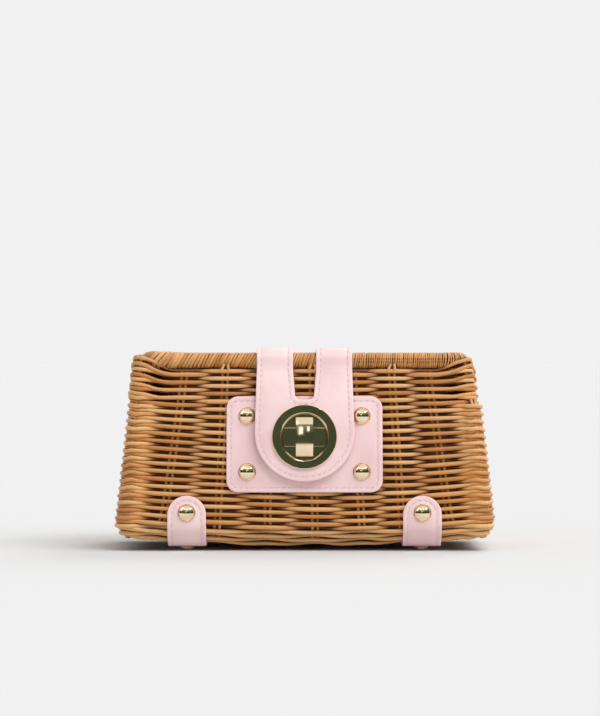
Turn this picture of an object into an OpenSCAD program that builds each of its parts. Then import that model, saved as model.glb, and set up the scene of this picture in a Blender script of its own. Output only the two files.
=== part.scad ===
// A woven cane box bag: tapered basket, lid with a wrapped roll edge,
// leather closure strap with a turn lock, leather hinge and foot straps.
// Millimetres. The origin is on the table, under the middle of the basket.
// +X is to the right and +Z is up. The front wall faces -Y.

/* [Basket] */
// Width of the basket where it is widest, just above the base
base_w = 235; // [225:1:245]
// Width of the basket at the rim
rim_w = 214; // [208:1:222]
// Depth of the basket where it is widest
base_d = 98; // [92:1:110]
// Depth of the basket at the rim
rim_d = 74; // [70:1:82]
// Height of the rim above the table
rim_z = 113; // [105:1:125]
// Height at which the walls are widest
bulge_z = 18; // [15:1:19]
// How far the walls would draw in by table height
tuck_in = 18; // [12:1:20]
// Height of the lower edge in the middle of a wall
under_z = 4; // [3.6:0.1:4.6]
// How much higher the lower edge is at the corners
edge_lift = 4.5; // [3:0.5:6]
// Corner radius at the base
base_corner_r = 14; // [12:1:18]
// Corner radius at the rim
rim_corner_r = 8; // [7:0.5:9]
// How far the front corners of the rim sweep up
corner_rise = 5; // [0:0.5:5]

/* [Weave] */
// Number of strands up a wall
wall_rows = 46; // [40:1:48]
// Number of ridges up the inside of a wall
inner_rows = 23; // [16:1:24]
// Posts along the front wall, and along the back
long_posts = 7; // [5:2:7]
// Posts along each side wall
short_posts = 3; // [1:2:5]
// Depth of a strand where it passes behind a post
weave_in = 1.6; // [1:0.1:1.8]
// Depth of the groove between two strands
groove = 2.2; // [1.8:0.1:2.4]
// Thickness of a wall over its strands
wall_t = 5.6; // [5:0.1:6]
// Height of a gap between two strands
gap_h = 1; // [0.8:0.1:1.2]
// Length of a gap beside a post
gap_w = 6; // [4:0.5:7]
// Distance between strands of the lid and the base
mat_pitch = 2.5; // [2.3:0.1:3]
// Thickness of the base
base_t = 3.2; // [2.6:0.1:3.6]

/* [Lid] */
// Width of the lid over its roll
lid_w = 206; // [200:1:208]
// Depth of the lid over its roll
lid_d = 74; // [72:1:76]
// Thickness of the wrapped roll round the lid
roll_d = 10.2; // [9:0.2:12]
// Radius of the roll's bend at a corner, to its middle
roll_corner_r = 12; // [11:0.5:14]
// Width of one turn of the wrapping
wrap_pitch = 2.2; // [2:0.1:3]
// Depth of the groove between two turns
wrap_groove = 0.4; // [0.2:0.1:0.6]
// Thickness of the woven panel
panel_t = 4.6; // [4:0.2:5]

/* [Leather] */
// Thickness of the closure strap and the plate
leather_t = 2.4; // [2:0.1:2.8]
// Distance from a plate rivet's middle to the plate's side edge
plate_margin = 13; // [9:0.5:16]
// Height of the plate
plate_h = 60; // [56:1:62]
// Height of the plate's middle above the table
plate_z = 66.2; // [64:0.5:68]
// Corner radius of the plate
plate_corner_r = 7.5; // [5:0.5:10]
// Width over both arms of the closure strap at the fold
strap_w = 59.5; // [56:0.5:62]
// Width of the closure strap where its round end begins
tongue_w = 62; // [60:0.5:64]
// Height of the tip of the closure strap above the table
tongue_tip_z = 43.4; // [41:0.2:45]
// Width of the slot between the arms at the fold
slot_w = 14.3; // [12:0.1:16]
// Width of the slot at its lower end
slot_end_w = 11.8; // [10:0.1:12]
// Height of the slot's lower end above the table
slot_end_z = 94.2; // [93:0.2:97]
// Width of a hinge strap
hinge_strap_w = 18; // [14:0.5:22]
// Distance of a hinge strap from the middle
hinge_x = 62; // [50:1:70]
// How far a hinge strap hangs down the back wall from the rim
hinge_drop = 29; // [24:1:35]
// Width of a foot strap
foot_strap_w = 24; // [20:0.5:26]
// Distance from a foot strap's middle to the end of the basket
foot_inset = 44.5; // [40:0.5:47]
// Height of a foot strap's top above the table
foot_top_z = 34.5; // [32:0.5:38]

/* [Metal] */
// Diameter of a domed rivet
rivet_d = 11; // [9:0.2:11.4]
// Height of a domed rivet's head
rivet_h = 3.6; // [3:0.1:4]
// Height of the flatter rivet heads on the lid
lid_rivet_h = 1.9; // [1.4:0.1:2.1]
// Diameter of a rivet's shank
shank_d = 3; // [2.4:0.1:3.4]
// Distance from the closure strap's edge to a plate rivet's middle
plate_rivet_gap = 4.5; // [4:0.1:7]
// Height of the upper rivets of the plate
plate_rivet_high = 83.6; // [82:0.2:86]
// Height of the lower rivets of the plate
plate_rivet_low = 49; // [47:0.2:51]
// Height of the foot straps' rivets
foot_rivet_z = 23.8; // [23.5:0.1:26]
// Diameter of the lock's ring
ring_d = 40; // [37:0.5:42]
// Diameter of the recess in the ring
recess_d = 29.4; // [28.6:0.2:31]
// Height of the lock's middle above the table
lock_z = 70.2; // [69:0.2:72]
// Width of the ring's slot
key_w = 26.4; // [25.6:0.2:27]
// Height of the ring's slot
key_h = 11.6; // [11.4:0.1:12]
// Length of the knob
knob_l = 24; // [22:0.2:24.6]
// Width of the knob
knob_w = 10.8; // [10:0.1:11]
// Distance from a foot stud's middle to the front or back of the basket
stud_inset = 19; // [18:0.5:23]
// Diameter of a foot stud
stud_d = 8; // [6:0.5:9]

/* [Hidden] */
$fn = 48;
eps = 0.01;
// Distances between neighbouring pieces
seat = 0.2;
shank_gap = 0.1;
lid_gap = 0.3;
fold_gap = 0.2;
lock_gap = 0.3;

// Distance that a cutting shape reaches past a surface
past = 10;

// Places that follow from the sizes
plate_rivet_x = tongue_w / 2 + plate_rivet_gap;
plate_w = 2 * (plate_rivet_x + plate_margin);
hinge_end_z = rim_z - hinge_drop;
foot_x = base_w / 2 - foot_inset;
stud_y = base_d / 2 - stud_inset;

// Slope of the front and back walls above the bulge
slope = (base_d - rim_d) / 2 / (rim_z - bulge_z);
tilt = atan(slope);

// Colours
cane = [0.80, 0.56, 0.30];
cane_dark = [0.70, 0.47, 0.23];
leather = [0.96, 0.82, 0.81];
gold = [0.86, 0.72, 0.45];

// Half size of the basket over its strands at height z
function half_size(z, wide, rim) =
  (z > bulge_z
    ? wide - (wide - rim) * (z - bulge_z) / (rim_z - bulge_z)
    : wide - 2 * tuck_in * pow((bulge_z - z) / bulge_z, 2)) / 2;
function half_w(z) = half_size(z, base_w, rim_w);
function half_d(z) = half_size(z, base_d, rim_d);
function corner_r(z) = base_corner_r + (rim_corner_r - base_corner_r) * z / rim_z;

// Each post is [place along X, place along Y, outward angle, beat, rise].
// Places are shares of the straight wall. The beat says on which side of the
// post the first strand passes: 1 outside, -1 inside, 0 between two posts.
post_edge_long = 0.83;
post_edge_short = 0.62;
function share(i, n, edge) = n < 2 ? 0 : (2 * i / (n - 1) - 1) * edge;
function beat(i) = i % 2 == 0 ? 1 : -1;
function wall_posts(n, edge, turn, rises) = concat(
  [for (i = [0:n - 1])
    let (s = share(i, n, edge))
    turn == 0 ? [s, -1, -90, beat(i), 0]
      : turn == 1 ? [1, s, 0, beat(i), 0]
      : turn == 2 ? [-s, 1, 90, beat(i), 0]
      : [-1, -s, 180, beat(i), 0]],
  [for (k = [0:2])
    [turn < 2 ? 1 : -1, turn == 1 || turn == 2 ? 1 : -1,
      turn * 90 - 90 + 45 * k, k == 1 ? -1 : 0, rises[k]]]);
rise_right = [0, 1, 0.4] * corner_rise;
rise_left = [0.4, 1, 0] * corner_rise;
posts = concat(
  wall_posts(long_posts, post_edge_long, 0, rise_right),
  wall_posts(short_posts, post_edge_short, 1, [0, 0, 0]),
  wall_posts(long_posts, post_edge_long, 2, [0, 0, 0]),
  wall_posts(short_posts, post_edge_short, 3, rise_left));

// Height of the wall at a post, from 0 at its lower edge to 1 at its rim
lift_power = 2.5;
rise_power = 8;
function edge_z(t) = under_z + edge_lift * pow(t, lift_power);
function post_z(p, f) =
  edge_z(min(abs(p[0]), abs(p[1]))) * (1 - f) + rim_z * f
  + p[4] * pow(f, rise_power);
// A point on the wall at a post, d inside the outermost strands
function wall_point(p, f, d) =
  let (z = post_z(p, f), r = corner_r(z))
  [p[0] * (half_w(z) - r) + (r - d) * cos(p[2]),
   p[1] * (half_d(z) - r) + (r - d) * sin(p[2]), z];
// How far inside the outermost strands strand level k lies at a post
function outer_depth(k, p) =
  k % 2 == 0 ? groove : weave_in * (1 - p[3] * beat((k - 1) / 2)) / 2;
inner_ridge = 1;
function inner_depth(k) = k % 2 == 0 ? wall_t - inner_ridge : wall_t;

// Faces between two rings of n points that start at point a and at point b
function ring_faces(a, b, n) = [for (c = [0:n - 1])
  let (d = (c + 1) % n)
  each [[a + c, a + d, b + d], [a + c, b + d, b + c]]];
function flipped(faces) = [for (f = faces) [f[2], f[1], f[0]]];

// A band of leather follows a path, and its other face is the path moved by d
function side_of(a, b) = [b[1] - a[1], a[0] - b[0]] / norm(b - a);
function moved(path, d) = [for (i = [0:len(path) - 1])
  let (a = max(i - 1, 0), b = min(i, len(path) - 2),
    m = side_of(path[a], path[a + 1]), n = side_of(path[b], path[b + 1]))
  path[i] + (m + n) * d / (1 + m * n)];
function turned(list) = [for (i = [len(list) - 1:-1:0]) list[i]];
function band(path, t) = concat(path, turned(moved(path, t)));
function arc(c, r, a, b, n) = [for (i = [0:n])
  c + r * [cos(a + (b - a) * i / n), sin(a + (b - a) * i / n)]];

// A profile in Y and Z, drawn out to width w along X
module drawn_along_x(w) {
  rotate([90, 0, 90]) linear_extrude(w, center = true) children();
}

// An outline in X and Z, drawn through the whole depth
reach = 200;
module drawn_along_y() {
  rotate([90, 0, 0]) linear_extrude(reach, center = true) children();
}

module rounded(w, h, r) {
  square([w - 2 * r, h], center = true);
  square([w, h - 2 * r], center = true);
  for (x = [-1, 1], y = [-1, 1])
    translate([x * (w / 2 - r), y * (h / 2 - r)]) circle(r);
}

// Places a child on the front wall: its Z points out of the wall and its Y
// up along it, and its zero is on the outermost strands
module on_front(x, z) {
  translate([x, -half_d(z), z]) rotate([90 - tilt, 0, 0]) children();
}
module on_back(x, z) {
  mirror([0, 1, 0]) on_front(x, z) children();
}
module on_lid(x, y) {
  translate([x, y, panel_top]) children();
}

// Stack on the front wall, measured outwards from the strands
plate_top = seat + leather_t;
lock_base_t = 1;
lock_base_top = plate_top + lock_base_t;
ring_back_t = 0.8;
ring_back_low = lock_base_top + lock_gap;
tongue_low = ring_back_low + ring_back_t;
tongue_top = tongue_low + leather_t;

// Lid levels
roll_r = roll_d / 2;
roll_z = rim_z + lid_gap + roll_r;
roll_x = lid_w / 2 - roll_r;
roll_y = lid_d / 2 - roll_r;
panel_top = roll_z + 0.5 + panel_t / 2;
panel_low = panel_top - panel_t;
panel_in = 1.3;
panel_w = 2 * (roll_x - roll_r + panel_in);
panel_d = 2 * (roll_y - roll_r + panel_in);
panel_corner_r = roll_corner_r - roll_r + panel_in;

// Base levels: the foot straps pass under the lower edge, and the studs
// under the straps stand on the table
foot_inner_t = (foot_x - foot_strap_w / 2) / (half_w(under_z) - base_corner_r);
strap_top_z = edge_z(foot_inner_t * 0.9) - seat;
stud_h = strap_top_z - leather_t;
base_low = strap_top_z + 2 * seat;
base_top = base_low + base_t;
mat_w = 2 * (half_w(base_low) - wall_t - seat);
mat_d = 2 * (half_d(base_low) - wall_t - seat);
mat_corner_r = corner_r(0) - wall_t;

// Rivets
head_r = rivet_d / 2;
shank_r = shank_d / 2;
cap_r = 4.6;
cap_t = 1.6;
cap_floor = 0.5;

// A domed head of radius r and height h with a shank that goes l below it
module dome_rivet(r, h, l) {
  ball_r = (r * r + h * h) / (2 * h);
  rotate_extrude() {
    intersection() {
      translate([0, h - ball_r]) circle(ball_r);
      square([r + 1, h]);
    }
    translate([0, -l]) square([shank_r, l + eps]);
  }
}
// The cap that closes a rivet on the far side: its seat is at zero
module rivet_cap() {
  rotate_extrude() difference() {
    translate([0, -cap_t]) square([cap_r, cap_t]);
    translate([-1, cap_floor - cap_t])
      square([1 + shank_r + shank_gap, cap_t]);
  }
}
module shank_hole(l) {
  translate([0, 0, -l]) cylinder(r = shank_r + shank_gap, h = l + past);
}
cap_seat = wall_t + seat;
// Length of a shank from under the head into its cap
function shank_l(above, through) = above + through + cap_t - cap_floor - 0.2;

plate_rivet_at = [for (x = [-1, 1], z = [plate_rivet_low, plate_rivet_high])
  [x * plate_rivet_x, z]];

module at_plate_rivets() {
  for (p = plate_rivet_at) on_front(p[0], p[1]) children();
}
module at_foot_rivets() {
  for (x = [-1, 1]) {
    on_front(x * foot_x, foot_rivet_z) children();
    on_back(x * foot_x, foot_rivet_z) children();
  }
}
hinge_rivet_z = hinge_end_z + hinge_strap_w / 2;
module at_hinge_wall_rivets() {
  for (x = [-1, 1]) on_back(x * hinge_x, hinge_rivet_z) children();
}

// Prongs hold the lock's base through the plate and the wall
prong_x = 12.6;
prong_w = 3.6;
prong_t = 0.8;
prong_gap = 0.1;
module prongs(grow, l, above) {
  for (x = [-1, 1])
    translate([x * prong_x, 0, above - l / 2])
      cube([prong_t + 2 * grow, prong_w + 2 * grow, l], center = true);
}

// Slits between strands where one passes behind a post of the front wall
gap_steps = 8;
gap_first_row = 4;
gap_row_step = 5;
corner_gap_w = 9;
corner_gap_h = 1.4;
corner_gaps = 4;
module front_gap(p, f, x, w, h) {
  z = post_z(p, f);
  translate([x, -half_d(z), z]) cube([w, 4 * wall_t, h], center = true);
}
module front_gaps() {
  for (i = [0:long_posts - 1], j = [0:gap_steps - 1]) {
    row = gap_first_row + gap_row_step * j;
    inside_row = row + (row + i + 1) % 2;
    f = (inside_row + 1) / wall_rows;
    p = posts[i];
    x = p[0] * (half_w(post_z(p, f)) - corner_r(post_z(p, f)));
    for (s = [-1, 1]) front_gap(p, f, x + s * (gap_w / 2 + 2), gap_w, gap_h);
  }
  for (s = [-1, 1], j = [1:corner_gaps]) {
    p = posts[s < 0 ? 0 : long_posts - 1];
    f = 1 - 2 * j / wall_rows;
    x = p[0] * (half_w(rim_z) - rim_corner_r) + s * 11;
    front_gap(p, f, x, corner_gap_w, corner_gap_h);
  }
}

// The four walls, woven in one round: each strand passes outside one post and
// inside the next, and the next strand does the opposite
module basket_walls() {
  n = len(posts);
  outer = [for (k = [0:2 * wall_rows], p = posts)
    wall_point(p, k / (2 * wall_rows), outer_depth(k, p))];
  inner = [for (k = [0:2 * inner_rows], p = posts)
    wall_point(p, k / (2 * inner_rows), inner_depth(k))];
  first = len(outer);
  last_outer = first - n;
  last_inner = first + len(inner) - n;
  color(cane) difference() {
    polyhedron(concat(outer, inner), concat(
      flipped([for (k = [0:2 * wall_rows - 1]) each ring_faces(k * n, (k + 1) * n, n)]),
      [for (k = [0:2 * inner_rows - 1])
        each ring_faces(first + k * n, first + (k + 1) * n, n)],
      ring_faces(0, first, n),
      flipped(ring_faces(last_outer, last_inner, n))), convexity = 8);
    front_gaps();
    at_plate_rivets() shank_hole(2 * wall_t);
    at_foot_rivets() shank_hole(2 * wall_t);
    at_hinge_wall_rivets() shank_hole(2 * wall_t);
    on_front(0, lock_z) prongs(prong_gap, 4 * wall_t, wall_t);
  }
}

// A flat mat of strands along X, w by d over its edges. Its strands pass over
// one rib and under the next. The corners may sit higher than the middle.
mat_ribs = 8;
mat_over = 1.0;
mat_groove = 1.4;
mat_lift_power = 8;
module woven_mat(w, d, low, t, lift) {
  rows = round(d / mat_pitch);
  n = mat_ribs + 1;
  function rib_x(c) = w * (c / mat_ribs - 0.5);
  function row_y(k) = d * (k / (2 * rows) - 0.5);
  function raised(c, k) =
    lift * pow(abs(rib_x(c) * row_y(k)) * 4 / (w * d), mat_lift_power);
  function dip(c, k, s) =
    k % 2 == 0 ? mat_groove : mat_over * (1 + s * beat((k - 1) / 2 + c)) / 2;
  top = [for (k = [0:2 * rows], c = [0:mat_ribs])
    [rib_x(c), row_y(k), low + t + raised(c, k) - dip(c, k, 1)]];
  under = [for (k = [0:2 * rows], c = [0:mat_ribs])
    [rib_x(c), row_y(k), low + raised(c, k) + dip(c, k, -1)]];
  m = len(top);
  function quad(a, b, c, d) = [[a, b, c], [a, c, d]];
  polyhedron(concat(top, under), concat(
    [for (k = [0:2 * rows - 1], c = [0:mat_ribs - 1]) let (a = k * n + c)
      each quad(a, a + n, a + n + 1, a + 1)],
    [for (k = [0:2 * rows - 1], c = [0:mat_ribs - 1]) let (a = m + k * n + c)
      each quad(a, a + 1, a + n + 1, a + n)],
    [for (c = [0:mat_ribs - 1]) each quad(c, c + 1, m + c + 1, m + c)],
    [for (c = [0:mat_ribs - 1]) let (a = 2 * rows * n + c)
      each quad(a + 1, a, m + a, m + a + 1)],
    [for (k = [0:2 * rows - 1]) let (a = k * n)
      each quad(a + n, a, m + a, m + a + n)],
    [for (k = [0:2 * rows - 1]) let (a = k * n + mat_ribs)
      each quad(a, a + n, m + a + n, m + a)]), convexity = 8);
}

base_corner_lift = 2.4;
module basket_base() {
  color(cane_dark) difference() {
    intersection() {
      woven_mat(mat_w, mat_d, base_low, base_t, base_corner_lift);
      linear_extrude(rim_z) rounded(mat_w, mat_d, mat_corner_r);
    }
    for (x = [-1, 1], y = [-1, 1])
      translate([x * foot_x, y * stud_y, base_top]) shank_hole(2 * base_t);
  }
}

arm_x = (strap_w + slot_w) / 4;
arm_w = (strap_w - slot_w) / 2;
arm_end_y = -2;
arm_rivet_y = arm_end_y - arm_w / 2;
module at_arm_rivets() {
  for (x = [-1, 1]) on_lid(x * arm_x, arm_rivet_y) children();
}

module lid_panel() {
  color(cane) difference() {
    intersection() {
      woven_mat(panel_w, panel_d, panel_low, panel_t, 0);
      linear_extrude(2 * rim_z) rounded(panel_w, panel_d, panel_corner_r);
    }
    at_arm_rivets() shank_hole(2 * panel_t);
  }
}

// A straight run of the roll of length l: one cone up and one down a turn
module wrapped_run(l) {
  turns = round(l / wrap_pitch);
  rotate_extrude() polygon(concat([[0, -l / 2]],
    [for (k = [0:2 * turns])
      [roll_r - (k % 2 == 0 ? wrap_groove : 0), l * (k / (2 * turns) - 0.5)]],
    [[0, l / 2]]));
}
corner_turns = 8;
module wrapped_corner() {
  step = 90 / corner_turns;
  rotate_extrude(angle = 90)
    translate([roll_corner_r, 0]) circle(roll_r - wrap_groove);
  for (k = [0:corner_turns - 1]) rotate(step * (k + 0.5))
    translate([roll_corner_r, 0]) rotate([90, 0, 0])
      cylinder(r = roll_r, h = wrap_pitch / 3, center = true);
}
// Places a child on the back of the roll: its Z points backwards
wrap_r = roll_r + 0.15;
tack_l = 6;
tack_drop = 0.3;
module at_roll_tacks() {
  for (x = [-1, 1]) translate([x * hinge_x, roll_y + wrap_r, roll_z - tack_drop])
    rotate([-90, 0, 0]) children();
}
module lid_border() {
  run_x = 2 * (roll_x - roll_corner_r);
  run_y = 2 * (roll_y - roll_corner_r);
  color(cane_dark) difference() {
    translate([0, 0, roll_z]) {
      for (s = [-1, 1]) {
        translate([0, s * roll_y, 0]) rotate([0, 90, 0]) wrapped_run(run_x);
        translate([s * roll_x, 0, 0]) rotate([90, 0, 0]) wrapped_run(run_y);
      }
      for (x = [0, 1], y = [0, 1]) mirror([x, 0, 0]) mirror([0, y, 0])
        translate([run_x / 2, run_y / 2, 0]) wrapped_corner();
    }
    translate([0, 0, panel_low - seat])
      linear_extrude(panel_t + 2 * seat)
        rounded(panel_w + 2 * seat, panel_d + 2 * seat, panel_corner_r + seat);
    at_roll_tacks() shank_hole(tack_l + seat);
  }
}

// The closure strap is one piece of leather. It is drawn as the part on the
// lid and the part in front, which meet at the fold in front of the roll.
fold_y = -(roll_y + wrap_r + leather_t / 2);
fold_z = roll_z - fold_gap - leather_t / 2;
arm_rise_y = -(roll_y - roll_d);
arm_wrap_from = 75;
arm_path = concat(
  [[arm_end_y, panel_top + seat], [arm_rise_y, panel_top + seat]],
  arc([-roll_y, roll_z], wrap_r, arm_wrap_from, 180, 8));
module closure_arms() {
  color(leather) for (x = [-1, 1]) translate([x * arm_x, 0, 0])
    difference() {
      intersection() {
        drawn_along_x(2 * arm_w) polygon(band(arm_path, leather_t));
        translate([0, 0, roll_z]) linear_extrude(rim_z) {
          translate([0, arm_rivet_y]) circle(arm_w / 2);
          translate([-arm_w / 2, arm_rivet_y - rim_d])
            square([arm_w, rim_d]);
        }
      }
      on_lid(0, arm_rivet_y) shank_hole(2 * panel_t);
    }
}

tongue_mid = (tongue_low + tongue_top) / 2 / cos(tilt);
function tongue_y(z) = -half_d(z) - tongue_mid;
bend_z = slot_end_z - 2;
bend_soft = 2;
tongue_r = tongue_w / 2;
tongue_c_z = tongue_tip_z + tongue_r;
tongue_path = [[fold_y, fold_z],
  [(2 * tongue_y(bend_z) + fold_y) / 3, (2 * bend_z + fold_z) / 3],
  [tongue_y(bend_z - bend_soft), bend_z - bend_soft],
  [tongue_y(tongue_tip_z - bend_soft), tongue_tip_z - bend_soft]];
slot_corner_r = 3;
module tongue_outline() {
  difference() {
    polygon(concat([[-strap_w / 2, roll_z], [strap_w / 2, roll_z]],
      arc([0, tongue_c_z], tongue_r, 0, -180, 32)));
    polygon([[-slot_w / 2, roll_z + 1], [slot_w / 2, roll_z + 1],
      [slot_end_w / 2, slot_end_z + slot_corner_r],
      [-slot_end_w / 2, slot_end_z + slot_corner_r]]);
    translate([0, slot_end_z + slot_corner_r])
      rounded(slot_end_w, 2 * slot_corner_r, slot_corner_r - eps);
  }
}
collar_r = key_w / 2 + 1.6;
module closure_tongue() {
  half = leather_t / 2;
  color(leather) difference() {
    intersection() {
      drawn_along_x(2 * tongue_w) union() {
        polygon(concat(moved(tongue_path, half), turned(moved(tongue_path, -half))));
        translate([fold_y, fold_z]) circle(half);
      }
      drawn_along_y() tongue_outline();
    }
    on_front(0, lock_z) cylinder(r = collar_r + seat / 2, h = 2 * past);
  }
}

module front_plate() {
  color(leather) difference() {
    on_front(0, plate_z) translate([0, 0, seat])
      linear_extrude(leather_t) rounded(plate_w, plate_h, plate_corner_r);
    at_plate_rivets() shank_hole(wall_t);
    on_front(0, lock_z) {
      cylinder(r = knob_flange_r + 2 * seat, h = 3 * leather_t, center = true);
      prongs(prong_gap, 4 * leather_t, 2 * leather_t);
    }
  }
}
module plate_rivets() {
  color(gold) at_plate_rivets() translate([0, 0, plate_top])
    dome_rivet(head_r, rivet_h, shank_l(plate_top, cap_seat));
}
module plate_rivet_caps() {
  color(gold) at_plate_rivets() translate([0, 0, -cap_seat]) rivet_cap();
}

// Turn lock: the knob turns in the base, and passes through the ring's slot
// when it lies level. As drawn it stands upright and holds the strap.
knob_shank_r = 3;
knob_flange_r = 4.6;
knob_flange_t = 0.9;
knob_run = 0.05;
lock_base_w = 30;
lock_base_h = 20;
module lock_base() {
  color(gold) on_front(0, lock_z) {
    difference() {
      translate([0, 0, plate_top]) linear_extrude(lock_base_t)
        rounded(lock_base_w, lock_base_h, 4);
      cylinder(r = knob_shank_r + knob_run, h = 2 * past);
    }
    prongs(0, plate_top + cap_seat + 1.2, plate_top + eps);
  }
}
module lock_washer() {
  color(gold) on_front(0, lock_z) difference() {
    translate([0, 0, -cap_seat - 0.8]) linear_extrude(0.8)
      rounded(lock_base_w + 2, lock_base_h - 4, 3);
    prongs(prong_gap, 4 * wall_t, 0);
  }
}
ring_t = 1.6;
ring_floor_t = 0.8;
ring_edge = 0.4;
head_low = tongue_top + ring_t + 0.4;
head_t = 2.6;
knob_dome_r = 6.6;
knob_dome_h = 1.5;
knob_end_r = 2.4;
module lock_knob() {
  color(gold) on_front(0, lock_z) {
    translate([0, 0, plate_top - 0.1 - knob_flange_t])
      cylinder(r = knob_flange_r, h = knob_flange_t);
    translate([0, 0, plate_top - 0.1 - eps])
      cylinder(r = knob_shank_r, h = head_low - plate_top + 0.2);
    translate([0, 0, head_low]) {
      linear_extrude(head_t) rounded(knob_w, knob_l, knob_end_r);
      intersection() {
        linear_extrude(head_t + knob_dome_h) square([knob_w, knob_l], center = true);
        translate([0, 0, head_t + knob_dome_h - knob_dome_r])
          sphere(knob_dome_r);
      }
    }
  }
}
key_corner_r = 2.5;
module key_slot() {
  translate([0, 0, -past]) linear_extrude(4 * past)
    rounded(key_w, key_h, key_corner_r);
}
module lock_ring() {
  ring_r = ring_d / 2;
  recess_r = recess_d / 2;
  color(gold) on_front(0, lock_z) difference() {
    translate([0, 0, tongue_top]) rotate_extrude() {
      polygon([[0, 0], [ring_r, 0], [ring_r, ring_t - ring_edge],
        [ring_r - ring_edge, ring_t], [recess_r + ring_edge, ring_t],
        [recess_r, ring_floor_t], [0, ring_floor_t]]);
      translate([0, -leather_t]) square([collar_r, leather_t + eps]);
    }
    key_slot();
  }
}
ring_back_r = 18.4;
module lock_ring_back() {
  color(gold) on_front(0, lock_z) difference() {
    translate([0, 0, ring_back_low]) cylinder(r = ring_back_r, h = ring_back_t);
    key_slot();
  }
}

lid_head_r = 4.6;
module arm_rivets() {
  color(gold) at_arm_rivets() translate([0, 0, seat + leather_t])
    dome_rivet(lid_head_r, lid_rivet_h, shank_l(seat + leather_t, panel_t + seat));
}
module arm_rivet_caps() {
  color(gold) at_arm_rivets() translate([0, 0, -panel_t - seat]) rivet_cap();
}

// Hinge straps run from the back of the roll down the back wall. They are
// drawn closed. The lid turns about the rim's back edge.
hinge_leather_t = 2;
hinge_wrap_to = 42;
hinge_path = concat(
  arc([roll_y, roll_z], wrap_r, hinge_wrap_to, 0, 6),
  [[half_d(rim_z) + seat, rim_z - 1],
   [half_d(hinge_end_z) + seat, hinge_end_z]]);
module hinge_strap(x) {
  color(leather) difference() {
    intersection() {
      translate([x, 0, 0]) drawn_along_x(hinge_strap_w)
        polygon(band(hinge_path, -hinge_leather_t));
      translate([x, 0, 0]) drawn_along_y() {
        translate([0, hinge_rivet_z]) circle(hinge_strap_w / 2);
        translate([-hinge_strap_w, hinge_rivet_z])
          square([2 * hinge_strap_w, 2 * hinge_drop]);
      }
    }
    at_roll_tacks() shank_hole(past);
    on_back(x, hinge_rivet_z) shank_hole(wall_t);
  }
}
module hinge_strap_left() { hinge_strap(-hinge_x); }
module hinge_strap_right() { hinge_strap(hinge_x); }
hinge_head_r = 4;
hinge_head_h = 2.8;
tack_head_r = 3.4;
module hinge_lid_rivets() {
  color(gold) at_roll_tacks() translate([0, 0, hinge_leather_t + seat / 2])
    dome_rivet(tack_head_r, hinge_head_h, hinge_leather_t + tack_l);
}
module hinge_wall_rivets() {
  color(gold) at_hinge_wall_rivets() translate([0, 0, seat + hinge_leather_t])
    dome_rivet(hinge_head_r, hinge_head_h,
      shank_l(seat + hinge_leather_t, cap_seat));
}
module hinge_wall_caps() {
  color(gold) at_hinge_wall_rivets() translate([0, 0, -cap_seat]) rivet_cap();
}

// Foot straps run from the front wall under the base and up the back wall
foot_side = [for (f = [0, 0.25, 0.45, 0.65, 0.85])
  let (z = bulge_z + (strap_top_z - bulge_z) * f) [-half_d(z) - seat, z]];
foot_half = concat([[-half_d(foot_top_z + 1) - seat, foot_top_z + 1]], foot_side,
  [[-half_d(strap_top_z) - seat, strap_top_z]]);
foot_path = concat(foot_half, [for (p = turned(foot_half)) [-p[0], p[1]]]);
module foot_strap(x) {
  r = foot_strap_w / 2;
  color(leather) translate([x, 0, 0]) difference() {
    intersection() {
      drawn_along_x(2 * foot_strap_w) polygon(band(foot_path, leather_t));
      drawn_along_y() {
        translate([0, foot_top_z - r]) circle(r);
        translate([-r, 0]) square([foot_strap_w, foot_top_z - r]);
      }
    }
    on_front(0, foot_rivet_z) shank_hole(wall_t);
    on_back(0, foot_rivet_z) shank_hole(wall_t);
    for (y = [-1, 1]) translate([0, y * stud_y, strap_top_z])
      shank_hole(2 * leather_t);
  }
}
module foot_strap_left() { foot_strap(-foot_x); }
module foot_strap_right() { foot_strap(foot_x); }
module foot_rivets() {
  color(gold) at_foot_rivets() translate([0, 0, plate_top])
    dome_rivet(head_r, rivet_h, shank_l(plate_top, cap_seat));
}
module foot_rivet_caps() {
  color(gold) at_foot_rivets() translate([0, 0, -cap_seat]) rivet_cap();
}
module at_studs(z) {
  for (x = [-1, 1], y = [-1, 1])
    translate([x * foot_x, y * stud_y, z]) children();
}
stud_edge = 0.8;
stud_tip_z = base_top + seat + cap_t - cap_floor - shank_gap;
module foot_studs() {
  color(gold) at_studs(0) rotate_extrude() polygon([[0, 0],
    [stud_d / 2 - stud_edge, 0], [stud_d / 2, stud_edge], [stud_d / 2, stud_h],
    [shank_r, stud_h], [shank_r, stud_tip_z], [0, stud_tip_z]]);
}
module foot_stud_caps() {
  color(gold) at_studs(base_top + seat) mirror([0, 0, 1]) rivet_cap();
}

basket_walls();
basket_base();
front_plate();
plate_rivets();
plate_rivet_caps();
lock_base();
lock_washer();
lock_knob();
lock_ring();
lock_ring_back();
closure_tongue();
closure_arms();
arm_rivets();
arm_rivet_caps();
lid_panel();
lid_border();
hinge_strap_left();
hinge_strap_right();
hinge_lid_rivets();
hinge_wall_rivets();
hinge_wall_caps();
foot_strap_left();
foot_strap_right();
foot_rivets();
foot_rivet_caps();
foot_studs();
foot_stud_caps();
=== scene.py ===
"""Looks of a woven cane box bag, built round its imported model."""

import math
import random
from bisect import bisect_left, bisect_right
from functools import cache
from itertools import accumulate

import bmesh
import bpy
import numpy as np
from bpy.props import FloatProperty, FloatVectorProperty, PointerProperty
from mathutils import Matrix, Vector
from mathutils.kdtree import KDTree


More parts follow.
